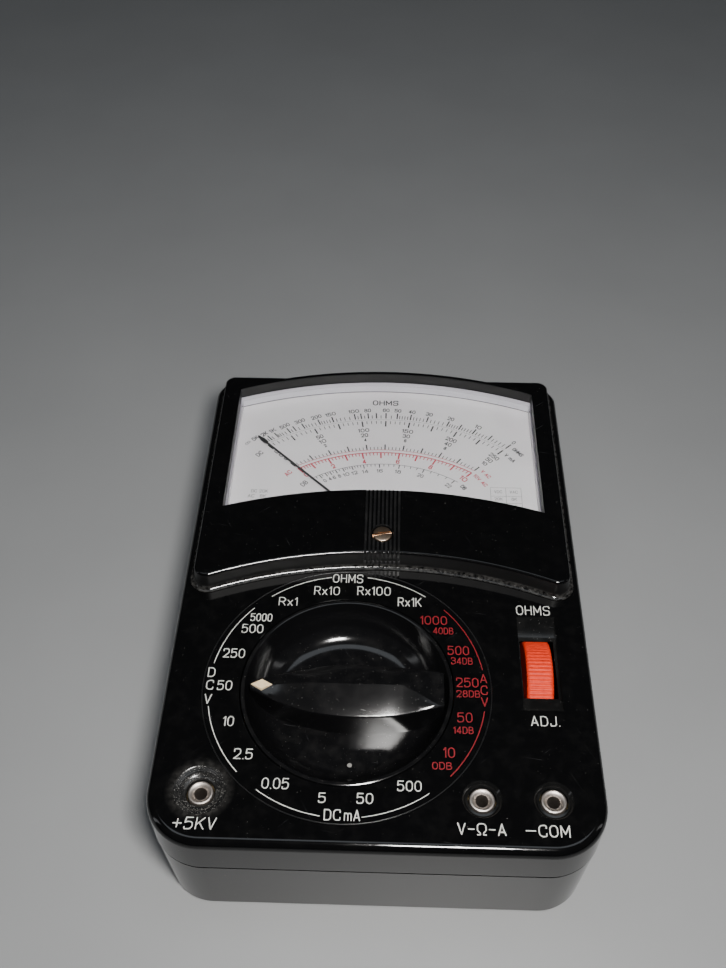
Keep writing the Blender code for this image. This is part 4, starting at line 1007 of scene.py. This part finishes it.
def print_decibels(black):
    for value in (0, 4, 6, 8, 10, 12, 14, 16, 18, 20, 22):
        tick(black, LOWER_ARC, decibel_angle(value), 0.0, -1.3, 0.26)
        scale_text(black, LOWER_ARC, str(value), decibel_angle(value), -2.4, 1.2, 0.19)
    for value in (*(half_steps / 2 for half_steps in range(20, 44)), -5, 2, 5, 7, 9):
        tick(black, LOWER_ARC, decibel_angle(value), 0.0, -0.8, 0.18)


def print_sensitivities(black):
    """The small table at the scale's right foot and the two lines at its left."""
    left, right, top, line = 26.9, 34.6, 29.5, 0.07
    for y in (top, top - 2.9, top - 5.2):
        add_ribbon(black, [(left, y), (right, y)], line, INK_Z)
    for x in (left, (left + right) / 2, right):
        add_ribbon(black, [(x, top), (x, top - 7)], line, INK_Z)
    for row, texts in enumerate((("VDC", "VAC"), ("20K", "8K"), ("DC", "AC"))):
        for text, x in zip(texts, (28.8, 32.7)):
            write(black, text, x, top - 1.4 - 2.4 * row, 0.95, INK_Z, 0.09, 0.66 * len(text))
    write(black, "DC 20K", -31.2, 26.7, 1.05, INK_Z, 0.1, 4.2)
    write(black, "AC  8K", -31.7, 25.0, 1.05, INK_Z, 0.1, 4.6)


def make_scale():
    half, radius, foot = 39.1, ARCH_RADIUS - 0.1, 15.5
    reach = math.degrees(math.asin(half / radius))
    outline = ([(-half, foot), (-15.0, foot)] + arc(PIVOT, 10.5, 154, 26, 32) + [(15.0, foot), (half, foot)]
               + arc((0, ARCH_CENTRE_Y), radius, 90 - reach, 90 + reach, 48))
    plate = piece("scale_card", prism(outline, SCALE_Z - 0.5, SCALE_Z), "case", "scale_card", ["scale_plate"])
    carve(plate, merged([moved(rod(1.4, 28, 31, 24), x, y) for x, y in SCALE_SCREWS]))

    black, red = bmesh.new(), bmesh.new()
    print_ohms(black)
    print_direct_current(black)
    print_alternating_current(red)
    for bm, curve, offset, width in ((red, MIDDLE_ARC, 0.42, 0.14), (red, MIDDLE_ARC, -0.58, 0.30),
                                     (black, UPPER_ARC, 0.0, 0.06), (black, LOWER_ARC, 0.0, 0.13)):
        add_ribbon(bm, [curve.point(swing(i / 60), offset) for i in range(61)], width, INK_Z)
    print_decibels(black)
    write(black, "OHMS", 0.0, UPPER_ARC.point(0)[1] + 6.5, 1.95, INK_Z, 0.30, 7.0)
    for bm, curve, text, angle, offset, height in (
            (black, UPPER_ARC, "OHMS", 50.0, 1.4, 1.2), (black, UPPER_ARC, "V mA", 50.3, -1.7, 1.2),
            (black, UPPER_ARC, "DC", -50.6, -1.9, 1.4), (red, MIDDLE_ARC, "AC", -50.8, -0.6, 1.4),
            (black, LOWER_ARC, "DB", -50.6, -0.4, 1.4), (red, MIDDLE_ARC, "V AC", 51.0, 1.2, 1.1),
            (red, MIDDLE_ARC, "10V AC", 52.4, -1.5, 1.1), (black, LOWER_ARC, "DB", 51.0, -0.6, 1.2)):
        scale_text(bm, curve, text, angle, offset, height, 0.22)
    print_sensitivities(black)
    print_piece("scale_print_black", black, INK_BLACK)
    print_piece("scale_print_red", red, INK_RED)


# ---- Pointer, zero screw, knob, wheel, jacks ----
def make_pointer():
    tip, spade, hub = POINTER_LENGTH, POINTER_LENGTH - 3.4, 1.9
    blade = [(-0.5, spade + 1.2), (-0.5, spade + 0.4), (-0.2, spade - 0.5), (-0.24, hub)]
    outline = [(0.16, tip), (-0.16, tip)] + blade
    for start, end, corners in ((100, 170, [(-6.5, 0.35), (-6.5, -0.35)]),
                                (190, 255, [(-0.5, -6.8), (0.5, -6.8)]),
                                (285, 350, [(6.5, -0.35), (6.5, 0.35)])):
        outline += arc((0, 0), hub, start, end, 8) + corners
    outline += arc((0, 0), hub, 10, 80, 8) + [(-x, y) for x, y in blade[::-1]]
    turn = Matrix.Rotation(math.radians(POINTER_REST), 3, "Z")
    made = piece("needle", moved(prism(outline, POINTER_Z, POINTER_Z + 0.25), *PIVOT, turn=turn), "indicator",
                 "pointer_black", ["pointer"])
    carve(made, moved(rod(0.75, 29, 32, 24), *PIVOT))


def make_zero_screw():
    dome = [(radius, 35.95 - 0.0425 * radius ** 2) for radius in (2.0, 1.6, 1.2, 0.8, 0.4, 0.0)]
    head = [(0, 33.0), (1.2, 33.0), (1.2, 34.9), (2.15, 34.9), (2.25, 35.0), (2.25, 35.5), (2.22, 35.62),
            (2.13, 35.73)]
    made = piece("zero_adjust_screw", moved(turned(head + dome, 64), *ZERO_SCREW), "zero_adjuster",
                 "copper_brass", ["zero_screw"])
    turn = Matrix.Rotation(math.radians(13), 3, "Z")
    carve(made, moved(block((-4, 4), (-0.36, 0.36), (35.0, 37)), *ZERO_SCREW, turn=turn))
    carve(made, moved(rod(0.35, 32.3, 33.4, 16), ZERO_SCREW[0], ZERO_SCREW[1] + 1.0), "UNION")


def bar_half_width(s):
    """Half the bar's width at s along it, from two parabolas that meet where it is widest."""
    spread = 5.6 / 22.0 ** 2 if s < BAR_MIDDLE else 2.4 / 19.1 ** 2
    return 6.5 - spread * (s - BAR_MIDDLE) ** 2


def blend(value, start, end):
    """0 up to start and 1 from end, with a smooth rise between."""
    share = min(max((value - start) / (end - start), 0.0), 1.0)
    return share * share * (3 - 2 * share)


def finger_bar():
    """The bar across the knob: a low roof on upright walls, with a flat hip at the blunt end."""
    sections = []
    count = 104
    for i in range(count + 1):
        s = -20.8 + 41.6 * i / count
        half = bar_half_width(s)
        tent = 32.4 - 1.4 * blend(-s, 5, 19.5)
        crest = min(tent, 32.4 - 0.15 * (s - RIDGE_END))
        edge = min(29.9 + 1.2 * blend(s, 9, 20) + 0.8 * blend(-s, 8, 20.8), crest - 0.1)
        flat = max(half * (tent - crest) / (tent - edge), 0.05)
        side = [(half + 0.1, 22.2), (half + 0.1, 26.0), (half + 0.07, edge - 0.62),
                (half + 0.09, edge - 0.56), (half + 0.1, edge - 0.4), (half + 0.04, edge - 0.26),
                (half - 0.06, edge - 0.12), (half - 0.24, edge)]
        roof = [(half + (flat - half) * share, edge + (crest - edge) * share) for share in (0.34, 0.67)]
        right = side + roof + [(flat, crest)]
        sections.append((right + [(-y, z) for y, z in right[::-1]], s))
    return along_x(loft(sections))


def bowl_height(radius):
    """The bowl's surface: a flat floor that sweeps up to the rim."""
    share = max(0.0, (radius - BOWL_FLAT) / (BOWL_RADIUS - BOWL_FLAT))
    return BOWL_FLOOR_Z + (PANEL_Z - 0.15 - BOWL_FLOOR_Z) * share ** 3.4


def make_knob():
    steps = 44
    sweep = BOWL_RADIUS - BOWL_FLAT
    radii = [BOWL_RADIUS - sweep * (i / steps) ** 1.3 for i in range(steps + 1)] + [6.0, 0]
    bowl = [(radius, bowl_height(radius)) for radius in radii]
    side = [(0, KNOB_LOW_Z), (15, KNOB_LOW_Z), (21, 25.6), (KNOB_RADIUS, 26.8), (KNOB_RADIUS, PANEL_Z - 0.22),
            (KNOB_RADIUS - 0.07, PANEL_Z - 0.07), (KNOB_RADIUS - 0.22, PANEL_Z),
            (BOWL_RADIUS + 0.25, PANEL_Z), (BOWL_RADIUS + 0.08, PANEL_Z - 0.05)]
    body = piece("knob", moved(turned(side + bowl, 144), *KNOB), "selector", "knob_black", ["range_knob"], 16)
    carve(body, moved(finger_bar(), *KNOB), "UNION")
    carve(body, moved(rod(3.3, 19, 27.3, 32), *KNOB))

    def diamond(size):
        return [(x * size - 18.3, y * size) for x, y in ((-2.3, 0), (0, -1.25), (2.3, 0), (0, 1.25))]

    carve(body, moved(prism(diamond(1.05), 30.3, 33), *KNOB))
    inlay = loft([(diamond(1), 30.5), (diamond(1), 31.25), (diamond(0.94), 31.35)])
    piece("knob_mark", moved(inlay, *KNOB), "selector", "inlay_cream", ["knob_inlay"])


def make_bead():
    """The thin raised ring around the dial."""
    ring = [(DIAL_BEAD_RADIUS + 0.13 * math.cos(a), PANEL_Z + 0.15 * math.sin(a))
            for a in (math.tau * i / 10 for i in range(10))]
    piece("dial_bead", moved(turned(ring, 160), *KNOB), "case", "case_black", sharp=180, finish=DUSTY)


def make_wheel():
    ridges = 76
    ring, root, near = WHEEL_RADIUS, WHEEL_RADIUS - 0.12, WHEEL_RADIUS - 0.03
    ridge = ((0.0, root), (0.22, root), (0.36, near), (0.5, ring), (0.72, ring), (0.86, near))
    teeth = [(radius, math.tau * (i + part) / ridges) for i in range(ridges) for part, radius in ridge]

    def outline(shrink):
        return [((r - shrink) * math.cos(a), (r - shrink) * math.sin(a)) for r, a in teeth]

    half = WHEEL_HALF - 0.25
    shoulder = [(outline(drop), half - inset) for inset, drop in rounding(0.8, 5)]
    sections = [(rim, -z) for rim, z in shoulder] + shoulder[::-1]
    turn = Matrix.Rotation(math.radians(90), 3, "Y")
    body = piece("adjust_wheel", moved(loft(sections), *WHEEL, turn=turn), "adjuster", "wheel_orange",
                 ["ohms_wheel"], 50)
    carve(body, moved(rod(1.5, -13.2, -half + 0.5, 24), *WHEEL, turn=turn), "UNION")


def make_jacks():
    collar = JACK_RADIUS - 0.2
    for name, place in JACKS.items():
        rim = JACK_RIM[name]
        tube = [(0, JACK_LOW_Z), (1.6, JACK_LOW_Z), (1.6, 20.0), (collar, 20.0), (collar, 24.4),
                (JACK_RADIUS, 24.4), (JACK_RADIUS, rim - 0.45), (JACK_RADIUS - 0.05, rim - 0.24),
                (JACK_RADIUS - 0.18, rim - 0.07), (JACK_RADIUS - 0.4, rim), (JACK_RADIUS - 0.62, rim - 0.06),
                (1.66, rim - 0.26), (1.38, rim - 0.6), (0, rim - 0.6)]
        made = piece("socket_" + name, moved(turned(tube, 64), *place), "case", "nickel", ["jack_" + name])
        bore = [(0, rim + 1), (1.36, rim + 1), (1.36, rim - 0.55), (1.22, rim - 0.9), (1.12, rim - 1.5),
                (1.05, rim - 2.5), (1.05, 17.5), (0, 17.5)]
        # The bore's faces take the dark metal: painted shade for the depth of the hole.
        carve(made, moved(turned(bore, 48), *place), finish=BORE_PAINTED_SHADE)


make_front_case()
make_rear_case()
make_cover()
make_window()
make_scale()
make_panel_print()
make_pointer()
make_zero_screw()
make_knob()
make_bead()
make_wheel()
make_jacks()


# ---- Floor, lights and camera ----
def make_floor():
    made = Finish("pale_floor")
    patches = made.noise(0.02, 4.0, 0.3, 0.7)
    made.show("Base Color", made.mix(patches, (0.33, 0.335, 0.34), (0.31, 0.315, 0.32)))
    made.show("Roughness", 0.45)
    edge, thickness = 3000, 20
    floor = add_object("floor", block((-edge, edge), (-edge, edge), (-thickness, 0)), finish=made.material)


def area_light(name, place, target, size, power, colour=(1, 1, 1)):
    light = bpy.data.lights.new(name, "AREA")
    light.shape = "RECTANGLE"
    light.size, light.size_y = size[0] * MM, size[1] * MM
    light.energy = power
    light.color = colour
    lamp = bpy.data.objects.new(name, light)
    lamp.location = Vector(place) * MM
    lamp.rotation_euler = (Vector(target) - Vector(place)).to_track_quat("-Z", "Y").to_euler()
    bpy.context.scene.collection.objects.link(lamp)


make_floor()
settle()
area_light("key", (30, -150, 262), (0, -8, 28), (50, 36), 1.1, (1.0, 0.98, 0.95))
area_light("overhead", (0, 60, 900), (0, 0, 20), (900, 260), 1.1, (0.86, 0.93, 1.0))
area_light("side_left", (-620, -150, 260), (0, 0, 20), (60, 420), 0.12, (0.95, 0.97, 1.0))
area_light("side_right", (700, -60, 320), (0, 0, 20), (60, 420), 0.12)
world = bpy.data.worlds.new("room")
world.use_nodes = True
glow = world.node_tree.nodes["Background"]
glow.inputs["Color"].default_value = (0.30, 0.32, 0.34, 1)
glow.inputs["Strength"].default_value = 0.09
bpy.context.scene.world = world

camera = bpy.data.cameras.new("camera")
camera.sensor_width = 36
camera.lens = 39.58
camera.clip_start = 0.01
eye = bpy.data.objects.new("camera", camera)
turn = (Matrix.Rotation(math.radians(1.916), 4, "Z") @ Matrix.Rotation(math.radians(42.47), 4, "X")
        @ Matrix.Rotation(math.radians(-0.209), 4, "Z"))
eye.matrix_world = Matrix.Translation(Vector((0.845, -152.15, 228.39)) * MM) @ turn
bpy.context.scene.collection.objects.link(eye)
bpy.context.scene.camera = eye
